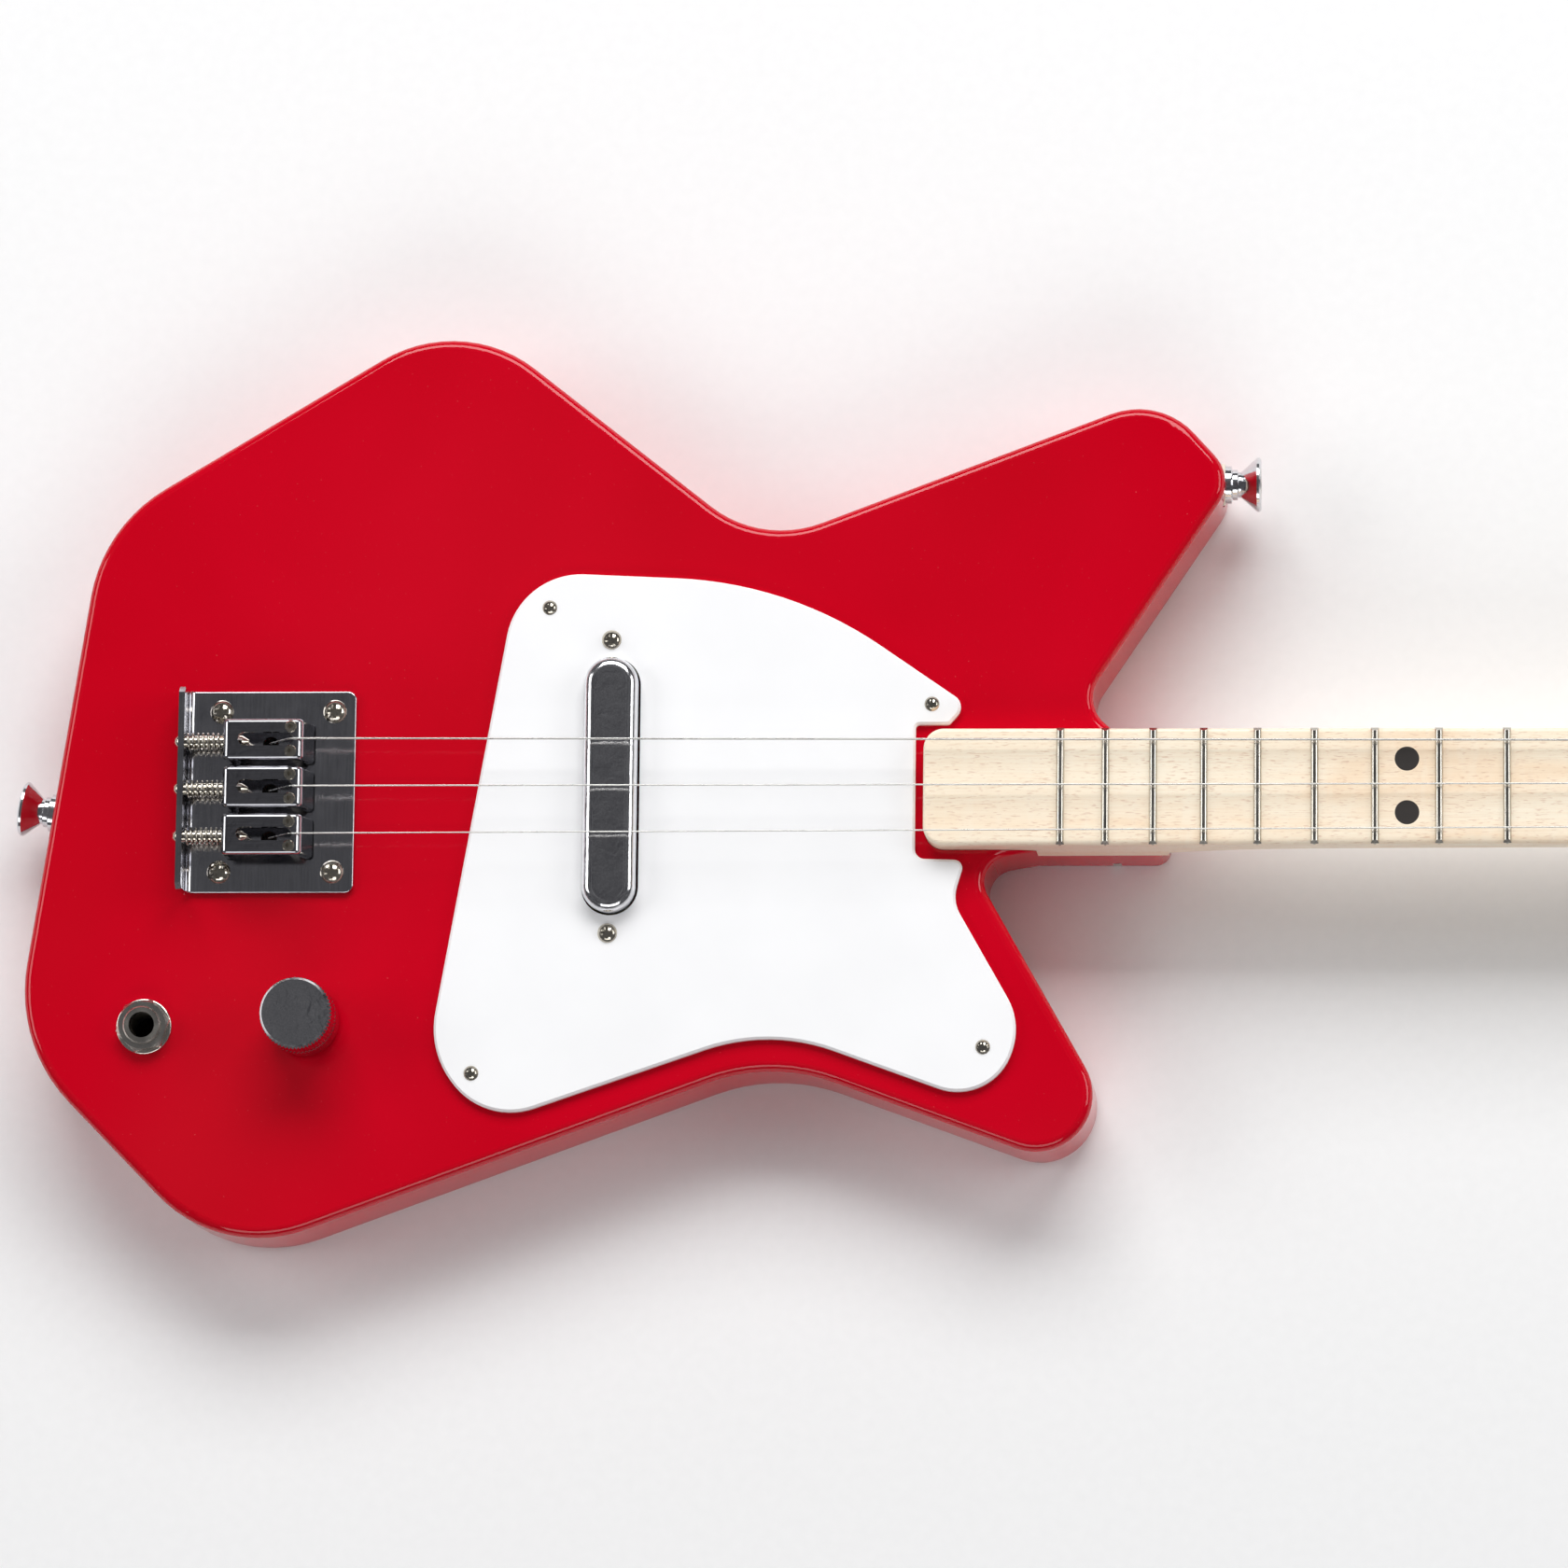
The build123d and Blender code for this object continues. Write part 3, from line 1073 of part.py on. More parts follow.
with BuildPart() as tuner_base:
    with BuildSketch(Plane.XY.offset(HEAD_BACK - BASE_THICK)):
        with Locations((2.2, 0)):
            RectangleRounded(17, 23, 2)
    extrude(amount=BASE_THICK)
    # Two ears carry the worm shaft
    for side in (1, -1):
        with BuildSketch(Plane.XZ.offset(-side * EAR_Y)):
            with Locations((WORM_X, GEAR_MID_Z)):
                Circle(3.2)
            with Locations((WORM_X, (GEAR_MID_Z + HEAD_BACK - BASE_THICK) / 2)):
                Rectangle(6.4, HEAD_BACK - BASE_THICK - GEAR_MID_Z)
        extrude(amount=BASE_THICK / 2, both=True)
    with BuildSketch(Plane(origin=(WORM_X, -EAR_Y - BASE_THICK, GEAR_MID_Z), z_dir=(0, 1, 0))):
        Circle(WORM_SHAFT_R + RUN_GAP)
    extrude(amount=2 * (EAR_Y + BASE_THICK), mode=Mode.SUBTRACT)
    with Locations((0, 0, HEAD_BACK)):
        Cylinder(POST_R + RUN_GAP, BASE_THICK, align=DOWNWARD, mode=Mode.SUBTRACT)
    with Locations(*[(x, y, HEAD_BACK) for x, y in BASE_SCREWS]):
        Cylinder(1.0, BASE_THICK, align=DOWNWARD, mode=Mode.SUBTRACT)

with BuildPart() as tuner_post:
    with BuildSketch(Plane.XZ):
        with BuildLine():
            Polyline(
                (0, GEAR_BOTTOM),
                (SPIGOT_R, GEAR_BOTTOM),
                (SPIGOT_R, GEAR_TOP),
                (POST_R, GEAR_TOP),
                (POST_R, BUSHING_TOP + 1.2),
            )
            Spline(
                (POST_R, BUSHING_TOP + 1.2),
                (POST_WAIST_R, STRING_POST_Z),
                (POST_R, POST_TOP - 1.2),
                tangents=((0, 1), (0, 1)),
            )
            Polyline((POST_R, POST_TOP - 1.2), (POST_R, POST_TOP - 0.5), (POST_R - 0.5, POST_TOP))
            Polyline((POST_R - 0.5, POST_TOP), (0, POST_TOP), (0, GEAR_BOTTOM))
        make_face()
    revolve(axis=Axis.Z)
    with BuildSketch(Plane.XZ):
        with Locations((0, STRING_POST_Z + 0.6)):
            Circle(0.7)
    extrude(amount=2 * POST_R, both=True, mode=Mode.SUBTRACT)
    with Locations((0, 0, GEAR_TOP)):
        Cylinder(1.0, GEAR_THICK, align=DOWNWARD, mode=Mode.SUBTRACT)

with BuildPart() as tuner_gear:
    with BuildSketch(Plane.XY.offset(GEAR_BOTTOM)):
        Circle(GEAR_ROOT_R)
        with PolarLocations(0, GEAR_TEETH):
            Polygon(
                (GEAR_ROOT_R - 0.3, 0.65),
                (GEAR_ROOT_R - 0.3, -0.65),
                (GEAR_TIP_R, -0.24),
                (GEAR_TIP_R, 0.24),
                align=None,
            )
        Circle(SPIGOT_R, mode=Mode.SUBTRACT)
    extrude(amount=GEAR_THICK)
gear_screw = cross_screw(2.6, 1.3, 1.0, GEAR_THICK)

THREAD_ROOT_R = 1.35
THREAD_LENGTH = WORM_TURNS * WORM_PITCH
SHAFT_END = 21.0
with BuildPart() as tuner_worm:
    # Drawn on the Z axis; one trapezoid thread winds round the shaft
    with BuildLine() as thread_path:
        Helix(pitch=WORM_PITCH, height=THREAD_LENGTH, radius=THREAD_ROOT_R, center=(0, 0, -THREAD_LENGTH / 2))
    thread_start = thread_path.line @ 0
    with BuildSketch(Plane(origin=thread_start, x_dir=(1, 0, 0), z_dir=thread_path.line % 0)):
        thread_reach = WORM_TIP_R - THREAD_ROOT_R
        Polygon((0, 0.5), (0, -0.5), (thread_reach, -0.22), (thread_reach, 0.22), align=None)
    sweep(is_frenet=True)
    with BuildSketch(Plane.XY.offset(-EAR_Y - 1.6)):
        Circle(WORM_SHAFT_R)
    extrude(amount=SHAFT_END + EAR_Y + 1.6)
    # Collars inside the ears take the end thrust
    collar_inner = THREAD_LENGTH / 2 + 0.55
    collar_outer = EAR_Y - BASE_THICK / 2 - RUN_GAP
    for side in (1, -1):
        with BuildSketch(Plane.XY.offset(side * collar_inner)):
            Circle(2.2)
        extrude(amount=side * (collar_outer - collar_inner))

BUTTON_START = 13.0
BUTTON_REACH = 13.0
with BuildPart() as tuner_button:
    # Flattened oval grip with a round boss, on the Z axis
    with BuildSketch(Plane.XZ):
        with Locations((0, BUTTON_START + 2.5 + BUTTON_REACH / 2)):
            Ellipse(7.6, BUTTON_REACH / 2)
    extrude(amount=2.6, both=True)
    fillet(tuner_button.edges(), 1.6)
    with BuildSketch(Plane.XY.offset(BUTTON_START)):
        Circle(3.2)
    extrude(amount=6)
    with BuildSketch(Plane.XY.offset(BUTTON_START)):
        Circle(WORM_SHAFT_R)
    extrude(amount=SHAFT_END - BUTTON_START, mode=Mode.SUBTRACT)

worm_place = Location((WORM_X, 0, GEAR_MID_Z), (-90, 0, 0))
gear_screw_up = gear_screw.moved(Location((0, 0, GEAR_BOTTOM), (180, 0, 0)))
for number, plane in enumerate(TUNER_PLANES, 1):
    at_post = plane.location
    finish(place_all(tuner_base.part, [at_post]), f"tuner_base_{number}")
    finish(stack([at_post], tuner_post.part, tuner_gear.part, gear_screw_up), f"tuner_post_{number}")
    finish(place_all(tuner_worm.part, [at_post * worm_place]), f"tuner_worm_{number}")
    finish(place_all(tuner_button.part, [at_post * worm_place]), f"tuner_button_{number}")

with BuildPart() as tuner_bushings:
    for plane in TUNER_PLANES:
        with BuildSketch(plane.offset(HEAD_TOP)):
            Circle(5.2)
        extrude(amount=BUSHING_TOP - HEAD_TOP)
        with BuildSketch(plane.offset(HEAD_TOP)):
            Circle(BUSHING_R)
        extrude(amount=-6)
        with BuildSketch(plane.offset(HEAD_TOP - 6)):
            Circle(POST_R + RUN_GAP)
        extrude(amount=10, mode=Mode.SUBTRACT)
finish(tuner_bushings, "tuner_bushings")

base_screw = cross_screw(1.9, 1.1, 1.0, BASE_THICK + 6.5)
base_screw_turns = [Location((x, y, HEAD_BACK - BASE_THICK), (180, 0, 0)) for x, y in BASE_SCREWS]
base_screw_places = [plane.location * turn for plane in TUNER_PLANES for turn in base_screw_turns]
finish(place_all(base_screw, base_screw_places), "tuner_screws")
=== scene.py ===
import json
from math import cos, pi, radians, sin

import bpy
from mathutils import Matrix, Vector


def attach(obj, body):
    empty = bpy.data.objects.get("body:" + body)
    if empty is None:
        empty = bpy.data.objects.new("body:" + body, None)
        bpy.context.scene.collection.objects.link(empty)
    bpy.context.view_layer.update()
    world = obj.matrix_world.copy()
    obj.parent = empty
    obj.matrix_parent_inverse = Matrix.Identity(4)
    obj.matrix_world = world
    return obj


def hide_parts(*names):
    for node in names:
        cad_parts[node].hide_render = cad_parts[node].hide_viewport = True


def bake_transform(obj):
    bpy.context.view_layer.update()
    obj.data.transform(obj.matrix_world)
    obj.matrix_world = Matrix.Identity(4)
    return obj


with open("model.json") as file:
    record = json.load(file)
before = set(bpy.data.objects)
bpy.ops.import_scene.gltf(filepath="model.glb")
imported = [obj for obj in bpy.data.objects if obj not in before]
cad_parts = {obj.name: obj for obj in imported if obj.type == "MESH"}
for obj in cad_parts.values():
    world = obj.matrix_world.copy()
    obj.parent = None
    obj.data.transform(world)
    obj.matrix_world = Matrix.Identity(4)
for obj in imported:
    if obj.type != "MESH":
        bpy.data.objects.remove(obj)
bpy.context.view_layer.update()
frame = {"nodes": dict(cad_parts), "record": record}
NODES = frame["nodes"]

# Same frame as the CAD source: +X to the headstock, +Y to the thick string, +Z out of the face.
# Metres from here on; MM turns the millimetres of the CAD source into metres.
MM = 0.001
STRING_SIDES = (1, 0, -1)
STRING_RADII = (0.25 * MM, 0.21 * MM, 0.18 * MM)
SADDLE_SPACING = 11.9 * MM
NUT_SPACING = 10.0 * MM


# ---------------------------------------------------------------- colour and node helpers
def linear(red, green, blue):
    """Scene-linear colour from an sRGB one given as 0 to 255."""
    channels = []
    for value in (red, green, blue):
        share = value / 255
        channels.append(share / 12.92 if share <= 0.04045 else ((share + 0.055) / 1.055) ** 2.4)
    return (*channels, 1.0)


class Surface:
    """A procedural material: a Principled shader and the texture nodes that feed it."""

    def __init__(self, name, colour, roughness, metallic=0.0, **settings):
        self.material = bpy.data.materials.new(name)
        self.material.use_nodes = True
        tree = self.material.node_tree
        self.nodes = tree.nodes
        self.links = tree.links
        self.shader = self.nodes["Principled BSDF"]
        self.shader.inputs["Base Color"].default_value = colour
        self.shader.inputs["Roughness"].default_value = roughness
        self.shader.inputs["Metallic"].default_value = metallic
        for socket, value in settings.items():
            self.shader.inputs[socket.replace("_", " ")].default_value = value
        self.bumps = None

    def add(self, kind, **values):
        """A node of a kind, with its sockets or properties set."""
        node = self.nodes.new(kind)
        for key, value in values.items():
            socket = key.replace("_", " ")
            if socket in node.inputs:
                node.inputs[socket].default_value = value
            else:
                setattr(node, key, value)
        return node

    def place(self, scale=(1, 1, 1), turn=(0, 0, 0)):
        """Object coordinates, scaled and turned."""
        where = self.add("ShaderNodeTexCoord")
        mapping = self.add("ShaderNodeMapping", Scale=scale, Rotation=turn)
        self.links.new(where.outputs["Object"], mapping.inputs["Vector"])
        return mapping.outputs["Vector"]

    def noise(self, size, stretch=(1, 1, 1), detail=3.0, turn=(0, 0, 0), distortion=0.0):
        """Noise whose features are about as big as size, in metres, times stretch."""
        scale = [1 / (size * part) for part in stretch]
        node = self.add("ShaderNodeTexNoise", Scale=1.0, Detail=detail, Distortion=distortion)
        self.links.new(self.place(scale, turn), node.inputs["Vector"])
        return node.outputs["Fac"]

    def ramp(self, factor, stops):
        """Colour ramp; stops are (position, colour)."""
        node = self.add("ShaderNodeValToRGB")
        elements = node.color_ramp.elements
        while len(elements) < len(stops):
            elements.new(0.5)
        for element, (position, colour) in zip(elements, stops):
            element.position = position
            element.color = colour if len(colour) == 4 else (*colour, 1.0)
        self.links.new(factor, node.inputs["Fac"])
        return node.outputs["Color"]

    def range(self, factor, low, high, start=0.0, end=1.0):
        """Spreads factor's span start..end over low..high."""
        node = self.add("ShaderNodeMapRange")
        for key, value in (("From Min", start), ("From Max", end), ("To Min", low), ("To Max", high)):
            node.inputs[key].default_value = value
        self.links.new(factor, node.inputs["Value"])
        return node.outputs["Result"]

    def mix(self, factor, under, over):
        """Mixes two colours; factor, under and over are sockets or plain values."""
        node = self.add("ShaderNodeMix", data_type="RGBA")
        for socket, value in ((node.inputs[0], factor), (node.inputs[6], under), (node.inputs[7], over)):
            if hasattr(value, "links"):
                self.links.new(value, socket)
            else:
                socket.default_value = value
        return node.outputs[2]

    def between(self, vector, axis, low, high):
        """1 where vector's axis (X, Y or Z) lies between low and high, else 0."""
        parts = self.add("ShaderNodeSeparateXYZ")
        self.links.new(vector, parts.inputs["Vector"])
        compare = self.add("ShaderNodeMath", operation="COMPARE")
        self.links.new(parts.outputs[axis], compare.inputs[0])
        compare.inputs[1].default_value = (low + high) / 2
        compare.inputs[2].default_value = (high - low) / 2
        return compare.outputs["Value"]

    def times(self, first, second):
        """The product of two factors."""
        product = self.add("ShaderNodeMath", operation="MULTIPLY")
        self.links.new(first, product.inputs[0])
        self.links.new(second, product.inputs[1])
        return product.outputs["Value"]

    def bump(self, height, distance, strength=1.0):
        """Adds a bump on top of any that are already there."""
        node = self.add("ShaderNodeBump", Distance=distance, Strength=strength)
        self.links.new(height, node.inputs["Height"])
        if self.bumps is not None:
            self.links.new(self.bumps, node.inputs["Normal"])
        self.bumps = node.outputs["Normal"]
        self.links.new(self.bumps, self.shader.inputs["Normal"])

    def feed(self, socket, value):
        """Links a texture to one of the shader's sockets."""
        self.links.new(value, self.shader.inputs[socket])


def metal(name, colour, roughness, streak=(1, 1, 1), scratch=0.15, wave=0.4):
    """Bare or plated metal with fine streaks, a slightly wavy polish and patches of wear."""
    made = Surface(name, colour, roughness, 1.0)
    streaks = made.noise(0.4 * MM, streak, 4.0)
    patches = made.noise(6 * MM, detail=2.0)
    blotch = made.range(patches, roughness * 0.75, roughness * 1.45, 0.3, 0.7)
    made.feed("Roughness", blotch)
    dark = tuple(channel * 0.86 for channel in colour[:3]) + (1.0,)
    made.feed("Base Color", made.mix(made.range(streaks, 0, 1, 0.35, 0.65), dark, colour))
    made.bump(streaks, 0.01 * MM, scratch)
    made.bump(made.noise(4 * MM, detail=1.0, distortion=1.5), 0.06 * MM, wave)
    return made


def plastic(name, colour, roughness, texture=0.1, size=0.3 * MM):
    """Moulded plastic with a faint grain and an uneven gloss."""
    made = Surface(name, colour, roughness)
    grain = made.noise(size, detail=2.0)
    cloud = made.noise(25 * MM, detail=3.0)
    made.feed("Roughness", made.range(cloud, roughness * 0.8, roughness * 1.3, 0.3, 0.7))
    dark = tuple(channel * 0.97 for channel in colour[:3]) + (1.0,)
    made.feed("Base Color", made.mix(made.range(cloud, 0, 1, 0.3, 0.7), dark, colour))
    made.bump(grain, 0.01 * MM, texture)
    return made


# ---------------------------------------------------------------- lacquer and wood
def lacquer():
    """Deep red gloss lacquer over wood: slight orange peel, dust specks and faint hairline scratches."""
    made = Surface("red_lacquer", linear(200, 1, 29), 0.34, 0.0, Coat_Weight=0.85, Coat_Roughness=0.03)
    made.shader.inputs["Coat IOR"].default_value = 1.45
    made.shader.inputs["Specular IOR Level"].default_value = 0.0
    cloud = made.noise(60 * MM, detail=2.0)
    deep = made.mix(made.range(cloud, 0, 1, 0.3, 0.7), linear(192, 0, 24), linear(200, 0, 29))
    speck = made.noise(0.55 * MM, detail=1.0)
    dust = made.range(speck, 0, 0.5, 0.765, 0.80)
    finished = made.mix(dust, deep, linear(228, 96, 100))
    # The string holes are drilled after lacquering, so their walls are bare wood; they are painted
    # near-black brown as painted shade deep in the holes
    where = made.place()
    in_wood = made.between(where, "Z", 0.5 * MM, 27.95 * MM)
    under_bridge = made.times(
        made.between(where, "X", -24 * MM, 2 * MM),
        made.between(where, "Y", -16 * MM, 16 * MM),
    )
    painted_hole_shade = made.times(in_wood, under_bridge)
    # Painted shade: the string-hole walls get a near-black brown instead of lacquer red
    made.feed("Base Color", made.mix(painted_hole_shade, finished, linear(52, 36, 28)))
    made.bump(made.noise(9 * MM, detail=1.0), 0.05 * MM, 0.25)
    made.bump(made.noise(1.6 * MM, detail=1.0), 0.01 * MM, 0.12)
    hairline = made.noise(0.5 * MM, (40, 1, 1), 2.0, (0, 0, radians(24)))
    made.feed("Roughness", made.range(hairline, 0.30, 0.42, 0.45, 0.72))
    return made.material


def maple():
    """Pale satin maple with long fine grain, soft figure and small pores."""
    made = Surface("maple", linear(243, 222, 196), 0.42, 0.0, Coat_Weight=0.25, Coat_Roughness=0.25)
    warped = made.noise(26 * MM, (6, 1, 1), 4.0, distortion=1.4)
    bands = made.ramp(
        warped,
        [
            (0.30, linear(255, 243, 221)),
            (0.46, linear(255, 238, 213)),
            (0.54, linear(251, 228, 199)),
            (0.62, linear(255, 241, 217)),
        ],
    )
    fibre = made.noise(0.5 * MM, (34, 1, 1), 4.0)
    soft = made.mix(made.range(fibre, 0, 0.35, 0.42, 0.70), bands, linear(238, 209, 175))
    curl = made.noise(4.5 * MM, (1, 4.0, 1), 2.0, distortion=0.6)
    figured = made.mix(made.range(curl, 0, 0.3, 0.5, 0.72), soft, linear(255, 245, 226))
    pores = made.noise(0.3 * MM, (7, 1, 1), 1.0, (0, 0, radians(3)))
    speckled = made.mix(made.range(pores, 0, 0.5, 0.60, 0.72), figured, linear(206, 160, 132))
    made.feed("Base Color", speckled)
    made.feed("Roughness", made.range(fibre, 0.34, 0.52, 0.3, 0.7))
    made.bump(fibre, 0.02 * MM, 0.2)
    made.bump(pores, 0.02 * MM, 0.15)
    return made.material


def string_wire(winding):
    """Steel string; winding is the pitch of its wrap wire, or 0 for a plain one."""
    made = metal("string_plain", linear(205, 204, 200), 0.24, (30, 1, 1), 0.1)
    if winding:
        made.material.name = "string_wound"
        wave = made.add("ShaderNodeTexWave", wave_type="BANDS", bands_direction="X", Scale=1.0)
        made.links.new(made.place([pi / (10 * winding)] * 3), wave.inputs["Vector"])
        made.bump(wave.outputs["Fac"], 0.05 * MM, 0.6)
    return made.material


def felt():
    """Pressed wool felt: dull, fibrous, a little uneven."""
    made = Surface("felt", linear(231, 222, 203), 0.95, 0.0, Sheen_Weight=0.6, Sheen_Roughness=0.5)
    fibres = made.noise(0.25 * MM, (1, 1, 1), 5.0, distortion=2.0)
    made.feed("Base Color", made.mix(fibres, linear(214, 203, 182), linear(243, 236, 220)))
    made.bump(fibres, 0.12 * MM, 0.7)
    return made.material


CHROME = linear(226, 226, 229)
NICKEL = linear(214, 209, 200)
MATERIALS = {
    "red_lacquer": lacquer(),
    "maple": maple(),
    "fret_wire": metal("fret_wire", linear(205, 200, 190), 0.20, (1, 12, 1), 0.2).material,
    "inlay": plastic("inlay", linear(52, 48, 46), 0.35).material,
    "nut_plastic": plastic("nut_plastic", linear(236, 229, 210), 0.38).material,
    "truss_steel": metal("truss_steel", linear(150, 150, 150), 0.4).material,
    "guard_white": plastic("guard_white", linear(254, 254, 255), 0.2, 0.03, 0.6 * MM).material,
    "chrome_cover": metal("chrome_cover", CHROME, 0.12, (1, 1, 1), 0.06, 0.6).material,
    "coil_copper": metal("coil_copper", linear(178, 96, 56), 0.35, (1, 40, 1), 0.4).material,
    "magnet_alloy": metal("magnet_alloy", linear(110, 110, 114), 0.5).material,
    "bracket_brass": metal("bracket_brass", linear(205, 178, 116), 0.35).material,
    "bridge_steel": metal("bridge_steel", linear(200, 200, 205), 0.13, (1, 22, 1), 0.35).material,
    "saddle_steel": metal("saddle_steel", linear(176, 176, 181), 0.10, (14, 1, 1), 0.22).material,
    "screw_steel": metal("screw_steel", linear(216, 209, 194), 0.15, scratch=0.25).material,
    "spring_steel": metal("spring_steel", linear(186, 180, 170), 0.25).material,
    "ferrule_nickel": metal("ferrule_nickel", NICKEL, 0.18).material,
    "knob_chrome": metal("knob_chrome", CHROME, 0.10, (1, 1, 1), 0.12).material,
    "pot_metal": metal("pot_metal", linear(190, 190, 190), 0.35).material,
    "brass_shaft": metal("brass_shaft", linear(212, 184, 120), 0.25).material,
    "nut_nickel": metal("nut_nickel", linear(232, 227, 218), 0.20).material,
    "socket_nickel": metal("socket_nickel", NICKEL, 0.26).material,
    "contact_metal": metal("contact_metal", linear(210, 190, 136), 0.3).material,
    "lead_insulation": plastic("lead_insulation", linear(34, 34, 36), 0.5).material,
    "cover_black": plastic("cover_black", linear(28, 28, 30), 0.45, 0.5, 0.5 * MM).material,
    "button_chrome": metal("button_chrome", CHROME, 0.12, (1, 1, 1), 0.08).material,
    "tuner_plate_nickel": metal("tuner_plate_nickel", NICKEL, 0.24, (18, 1, 1), 0.3).material,
    "tuner_post_nickel": metal("tuner_post_nickel", NICKEL, 0.14).material,
    "tuner_worm_steel": metal("tuner_worm_steel", linear(196, 192, 184), 0.28).material,
    "tuner_button_metal": metal("tuner_button_metal", CHROME, 0.09, scratch=0.1).material,
    "felt": felt(),
}
WOUND_STRING = string_wire(0.32 * MM)
PLAIN_STRING = string_wire(0)
SLOT_OF = {part["node"]: part["material_slot"] for part in frame["record"]["subparts"]}


def smooth(obj, angle=35):
    """Rounded faces shade smoothly and corners stay sharp."""
    obj.data.polygons.foreach_set("use_smooth", [True] * len(obj.data.polygons))
    bpy.context.view_layer.objects.active = obj
    obj.select_set(True)
    bpy.ops.object.shade_smooth_by_angle(angle=radians(angle))
    obj.select_set(False)


for name, node in NODES.items():
    if name == "string_1":
        material = WOUND_STRING
    elif name.startswith("string_") and name[-1].isdigit():
        material = PLAIN_STRING
    else:
        material = MATERIALS[SLOT_OF[name]]
    node.data.materials.clear()
    node.data.materials.append(material)


# ---------------------------------------------------------------- mesh helpers
def mesh_object(name, vertices, faces, material):
    """A new object from points in the row frame."""
    data = bpy.data.meshes.new(name)
    data.from_pydata([tuple(point) for point in vertices], [], faces)
    data.validate()
    data.materials.append(material)
    made = bpy.data.objects.new(name, data)
    bpy.context.scene.collection.objects.link(made)
    smooth(made)
    return made


def tube(name, path, radius, material, sides=10):
    """A round wire along path, a list of points in the row frame, with closed ends."""
    vertices, faces = [], []
    across = None
    for index, point in enumerate(path):
        after = path[min(index + 1, len(path) - 1)]
        before = path[max(index - 1, 0)]
        along = (after - before).normalized()
        if across is None:
            across = along.orthogonal()
        across = (across - along * across.dot(along)).normalized()
        other = along.cross(across)
        for side in range(sides):
            angle = 2 * pi * side / sides
            vertices.append(point + radius * (cos(angle) * across + sin(angle) * other))
    for ring in range(len(path) - 1):
        for side in range(sides):
            here = ring * sides + side
            beside = ring * sides + (side + 1) % sides
            faces.append((here, beside, beside + sides, here + sides))
    last = (len(path) - 1) * sides
    faces.append(tuple(reversed(range(sides))))
    faces.append(tuple(range(last, last + sides)))
    return mesh_object(name, vertices, faces, material)


# ---------------------------------------------------------------- saddle springs
# Each spring reaches from the bridge's lip to the back of its saddle.
SPRING_START = -31.1 * MM
SPRING_END = -21.6 * MM
SPRING_R = 2.05 * MM
SPRING_WIRE_R = 0.3 * MM
SPRING_TURNS = 7
SPRING_Z = 34 * MM
SPRING_STEPS_PER_TURN = 24

for number, side in enumerate(STRING_SIDES, 1):
    steps = SPRING_TURNS * SPRING_STEPS_PER_TURN
    middle_y = side * SADDLE_SPACING
    path = []
    for step in range(steps + 1):
        share = step / steps
        angle = 2 * pi * step / SPRING_STEPS_PER_TURN
        x = SPRING_START + SPRING_WIRE_R + share * (SPRING_END - SPRING_START - 2 * SPRING_WIRE_R)
        path.append(Vector((x, middle_y + SPRING_R * cos(angle), SPRING_Z + SPRING_R * sin(angle))))
    spring = tube(f"saddle_spring_{number}", path, SPRING_WIRE_R, MATERIALS["spring_steel"])
    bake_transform(spring)
    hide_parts("intonation_springs")

# ---------------------------------------------------------------- felt washers
FELT_R = 5.3 * MM
FELT_HOLE_R = 2.3 * MM
FELT_THICK = 1.5 * MM
FELT_PLACES = [
    (Vector((224.7, 79.6, 14)) * MM, Vector((1, 0, 0))),
    (Vector((-65.4, -3.1, 14)) * MM, Vector((-0.989, 0.146, 0))),
]
FELT_SIDES = 96
# Closed outline of the washer's section: radius, and height as a share of its thickness
FELT_PROFILE = [
    (FELT_HOLE_R, 0.12),
    (FELT_HOLE_R, 0.88),
    (FELT_HOLE_R + 0.3 * MM, 0.98),
    (FELT_R - 0.45 * MM, 0.98),
    (FELT_R - 0.12 * MM, 0.80),
    (FELT_R, 0.5),
    (FELT_R - 0.12 * MM, 0.20),
    (FELT_R - 0.45 * MM, 0.02),
    (FELT_HOLE_R + 0.3 * MM, 0.02),
]
for number, (base, direction) in enumerate(FELT_PLACES, 1):
    sideways = direction.cross(Vector((0, 0, 1))).normalized()
    upward = sideways.cross(direction)
    vertices, faces = [], []
    count = len(FELT_PROFILE)
    for side in range(FELT_SIDES):
        angle = 2 * pi * side / FELT_SIDES
        ragged = 1 + 0.010 * sin(7 * angle) + 0.008 * sin(17 * angle + number)
        for radius, height in FELT_PROFILE:
            reach = radius * (ragged if radius > FELT_R / 2 else 1)
            out = cos(angle) * sideways + sin(angle) * upward
            vertices.append(base + out * min(reach, FELT_R) + direction * height * FELT_THICK)
    for side in range(FELT_SIDES):
        for point in range(count):
            here = side * count + point
            above = side * count + (point + 1) % count
            turn = count * (side + 1) % (count * FELT_SIDES)
            faces.append((here, turn + point, turn + (point + 1) % count, above))
    washer = mesh_object(f"strap_felt_{number}", vertices, faces, MATERIALS["felt"])
    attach(washer, "instrument")
    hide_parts("strap_felts")

# ---------------------------------------------------------------- string turns on the tuning posts
# A few close turns lie round each post's waist and turn with it. Each turn is WRAP_DROP string
# radii below the one before, and WRAP_GROWTH further out.
TUNER_PITCH = 27 * MM
TUNER_FIRST = (566 * MM, 12.75 * MM)
POST_WAIST_R = 2.4 * MM
WRAP_TOP = 35.6 * MM
WRAP_TURNS = 3.5
WRAP_STEPS_PER_TURN = 48
WRAP_GROWTH = 0.06 * MM
WRAP_DROP = 2.15
ROW_STEP = ((TUNER_PITCH**2 - NUT_SPACING**2) ** 0.5, -NUT_SPACING)

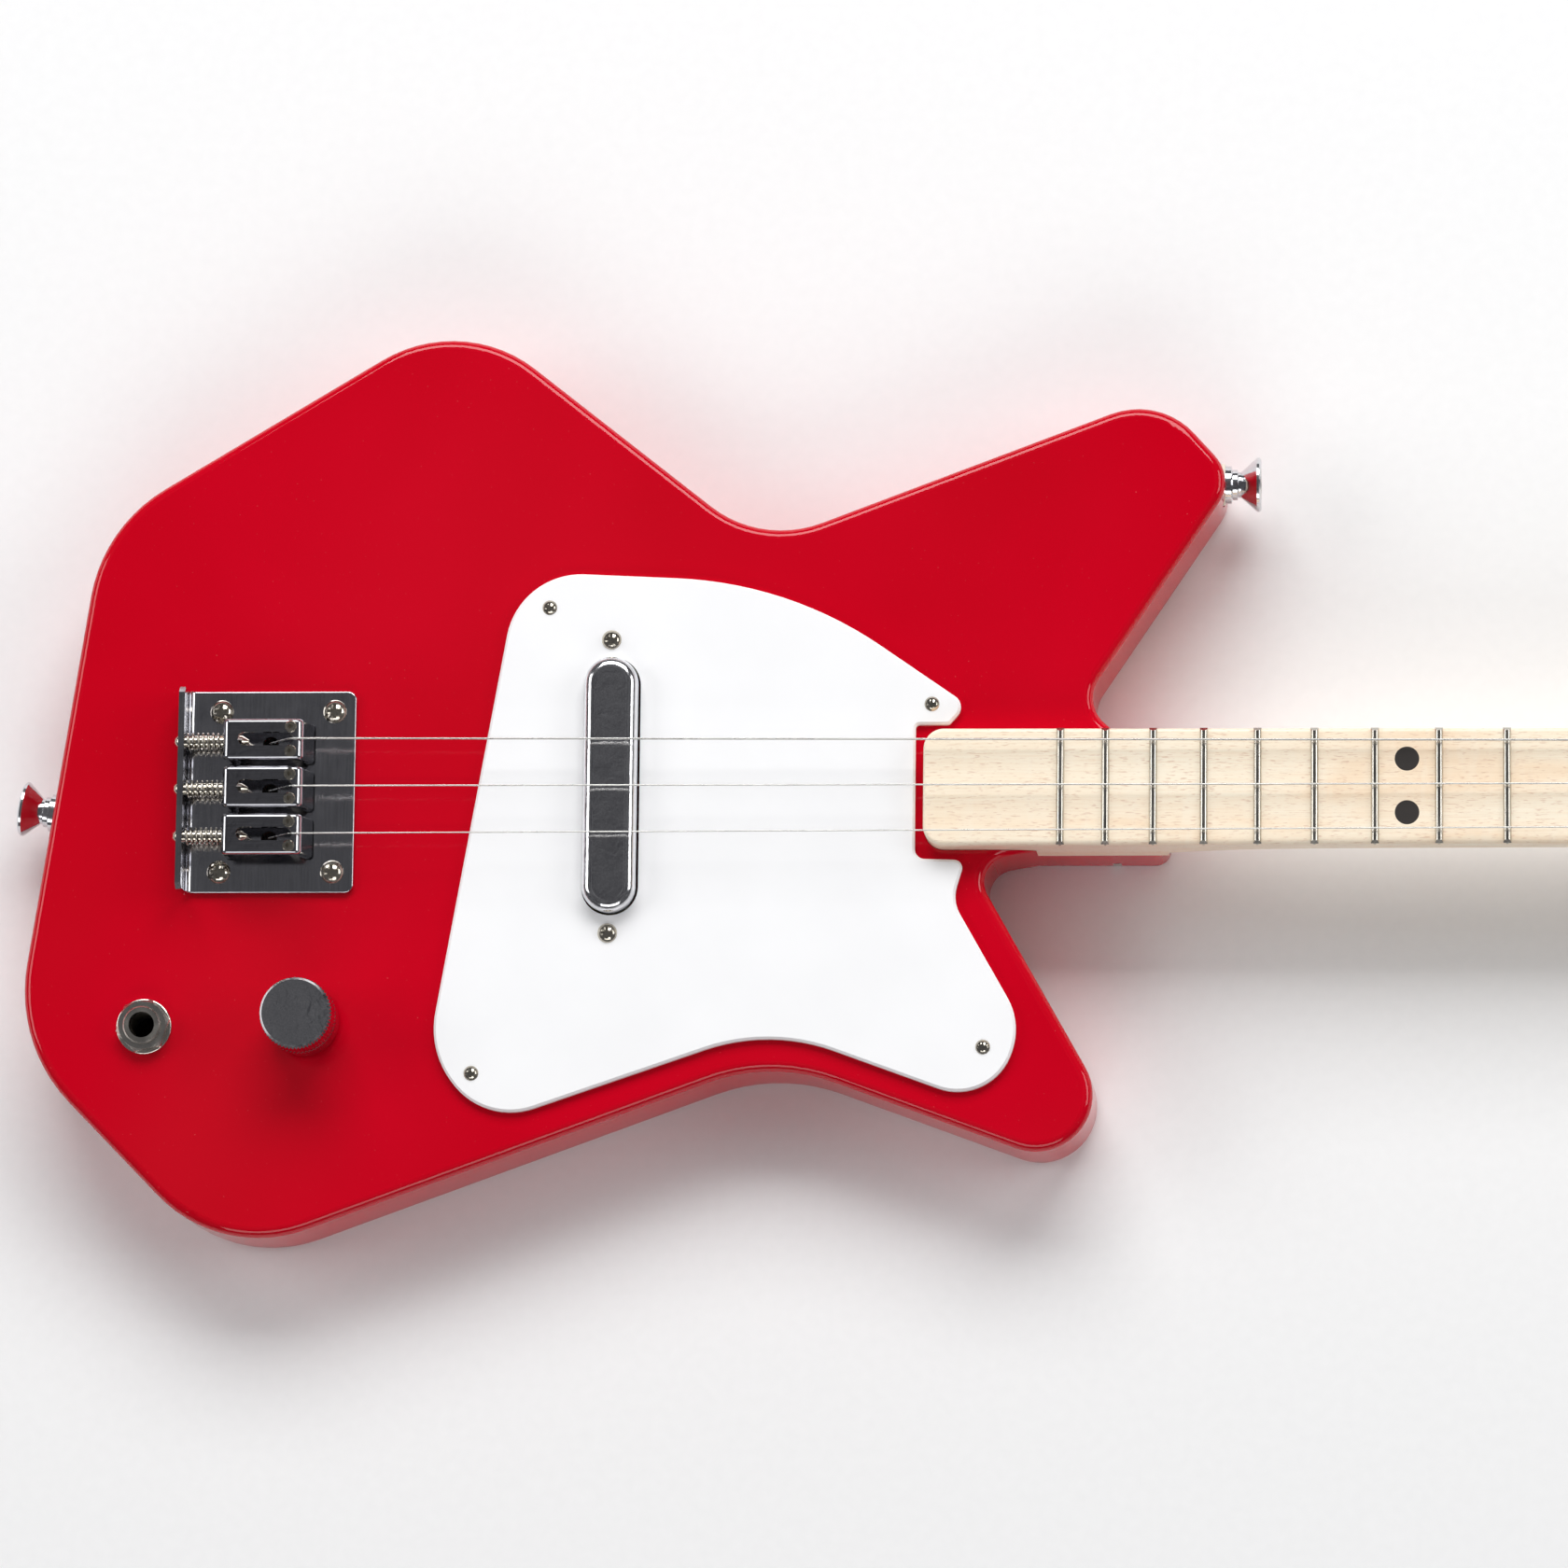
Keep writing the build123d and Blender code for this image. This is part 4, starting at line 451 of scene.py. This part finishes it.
for number, radius in enumerate(STRING_RADII, 1):
    x = TUNER_FIRST[0] + (number - 1) * ROW_STEP[0]
    y = TUNER_FIRST[1] + (number - 1) * ROW_STEP[1]
    steps = int(WRAP_TURNS * WRAP_STEPS_PER_TURN)
    path = []
    for step in range(steps + 1):
        turns = step / WRAP_STEPS_PER_TURN
        angle = -2 * pi * turns - pi / 2
        reach = POST_WAIST_R + radius + WRAP_GROWTH * turns
        z = WRAP_TOP - turns * WRAP_DROP * radius
        path.append(Vector((x + reach * cos(angle), y + reach * sin(angle), z)))
    material = WOUND_STRING if number == 1 else PLAIN_STRING
    turns_piece = tube(f"string_turns_{number}", path, radius, material)
    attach(turns_piece, f"tuner_post_{number}")

# ---------------------------------------------------------------- floor, light and camera
FLOOR_HALF = 6.0
FLOOR_Z = -0.2 * MM
floor_surface = Surface("floor_card", linear(243, 243, 243), 0.75)
floor_cloud = floor_surface.noise(3 * MM, detail=4.0)
floor_surface.feed(
    "Base Color", floor_surface.mix(floor_cloud, linear(240, 240, 240), linear(245, 245, 245))
)
floor_surface.bump(floor_cloud, 0.1 * MM, 0.1)
corners = [(-1, -1), (1, -1), (1, 1), (-1, 1)]
floor = mesh_object(
    "floor",
    [(sx * FLOOR_HALF, sy * FLOOR_HALF, FLOOR_Z) for sx, sy in corners],
    [(0, 1, 2, 3)],
    floor_surface.material,
)


def softbox(name, place, aim, size, power):
    """A large rectangular area light pointing at aim."""
    data = bpy.data.lights.new(name, "AREA")
    data.shape = "RECTANGLE"
    data.size, data.size_y = size
    data.energy = power
    lamp = bpy.data.objects.new(name, data)
    lamp.location = place
    lamp.rotation_euler = (Vector(aim) - Vector(place)).to_track_quat("-Z", "Y").to_euler()
    bpy.context.scene.collection.objects.link(lamp)


# A strong box beyond the bass side, weaker ones round the other sides, and nothing overhead,
# so that metal and lacquer facing up reflect a dark ceiling.
GUITAR_MIDDLE = (0.15, 0.0, 0.0)
softbox("key", (0.25, 2.0, 1.75), GUITAR_MIDDLE, (2.6, 1.3), 71)
softbox("fill_left", (-2.1, 0.4, 1.4), GUITAR_MIDDLE, (1.6, 1.0), 18.5)
softbox("fill_right", (2.5, 0.5, 1.4), GUITAR_MIDDLE, (1.6, 1.0), 18.5)
softbox("fill_front", (0.2, -2.3, 1.5), GUITAR_MIDDLE, (2.6, 1.0), 22)

# The dark ceiling is a little uneven, so what reflects it is not flat.
CEILING_DARK = (0.03, 0.03, 0.035, 1.0)
CEILING_LIGHT = (0.16, 0.16, 0.165, 1.0)
world = bpy.data.worlds.new("studio")
bpy.context.scene.world = world
world.use_nodes = True
world_nodes = world.node_tree.nodes
world_links = world.node_tree.links
ceiling = world_nodes.new("ShaderNodeTexNoise")
ceiling.inputs["Scale"].default_value = 9.0
ceiling.inputs["Distortion"].default_value = 1.0
ceiling_ramp = world_nodes.new("ShaderNodeValToRGB")
dark_end, light_end = ceiling_ramp.color_ramp.elements
dark_end.position = 0.35
dark_end.color = CEILING_DARK
light_end.position = 0.65
light_end.color = CEILING_LIGHT
directions = world_nodes.new("ShaderNodeTexCoord")
world_links.new(directions.outputs["Generated"], ceiling.inputs["Vector"])
world_links.new(ceiling.outputs["Fac"], ceiling_ramp.inputs["Fac"])
world_links.new(ceiling_ramp.outputs["Color"], world_nodes["Background"].inputs["Color"])

bpy.context.scene.view_settings.view_transform = "Standard"

# Camera: nearly overhead, tipped to look up the body, with a long lens.
CAMERA_PLACE = (0.28557, -0.31277, 1.95117)
CAMERA_TURN = (9.316, 4.886, 0.662)
CAMERA_LENS = 181.4
SENSOR = 36.0
camera_data = bpy.data.cameras.new("camera")
camera_data.sensor_width = SENSOR
camera_data.lens = CAMERA_LENS
camera_data.clip_start = 0.05
camera_data.clip_end = 50
camera = bpy.data.objects.new("camera", camera_data)
camera.location = CAMERA_PLACE
camera.rotation_euler = tuple(radians(angle) for angle in CAMERA_TURN)
bpy.context.scene.collection.objects.link(camera)
bpy.context.scene.camera = camera
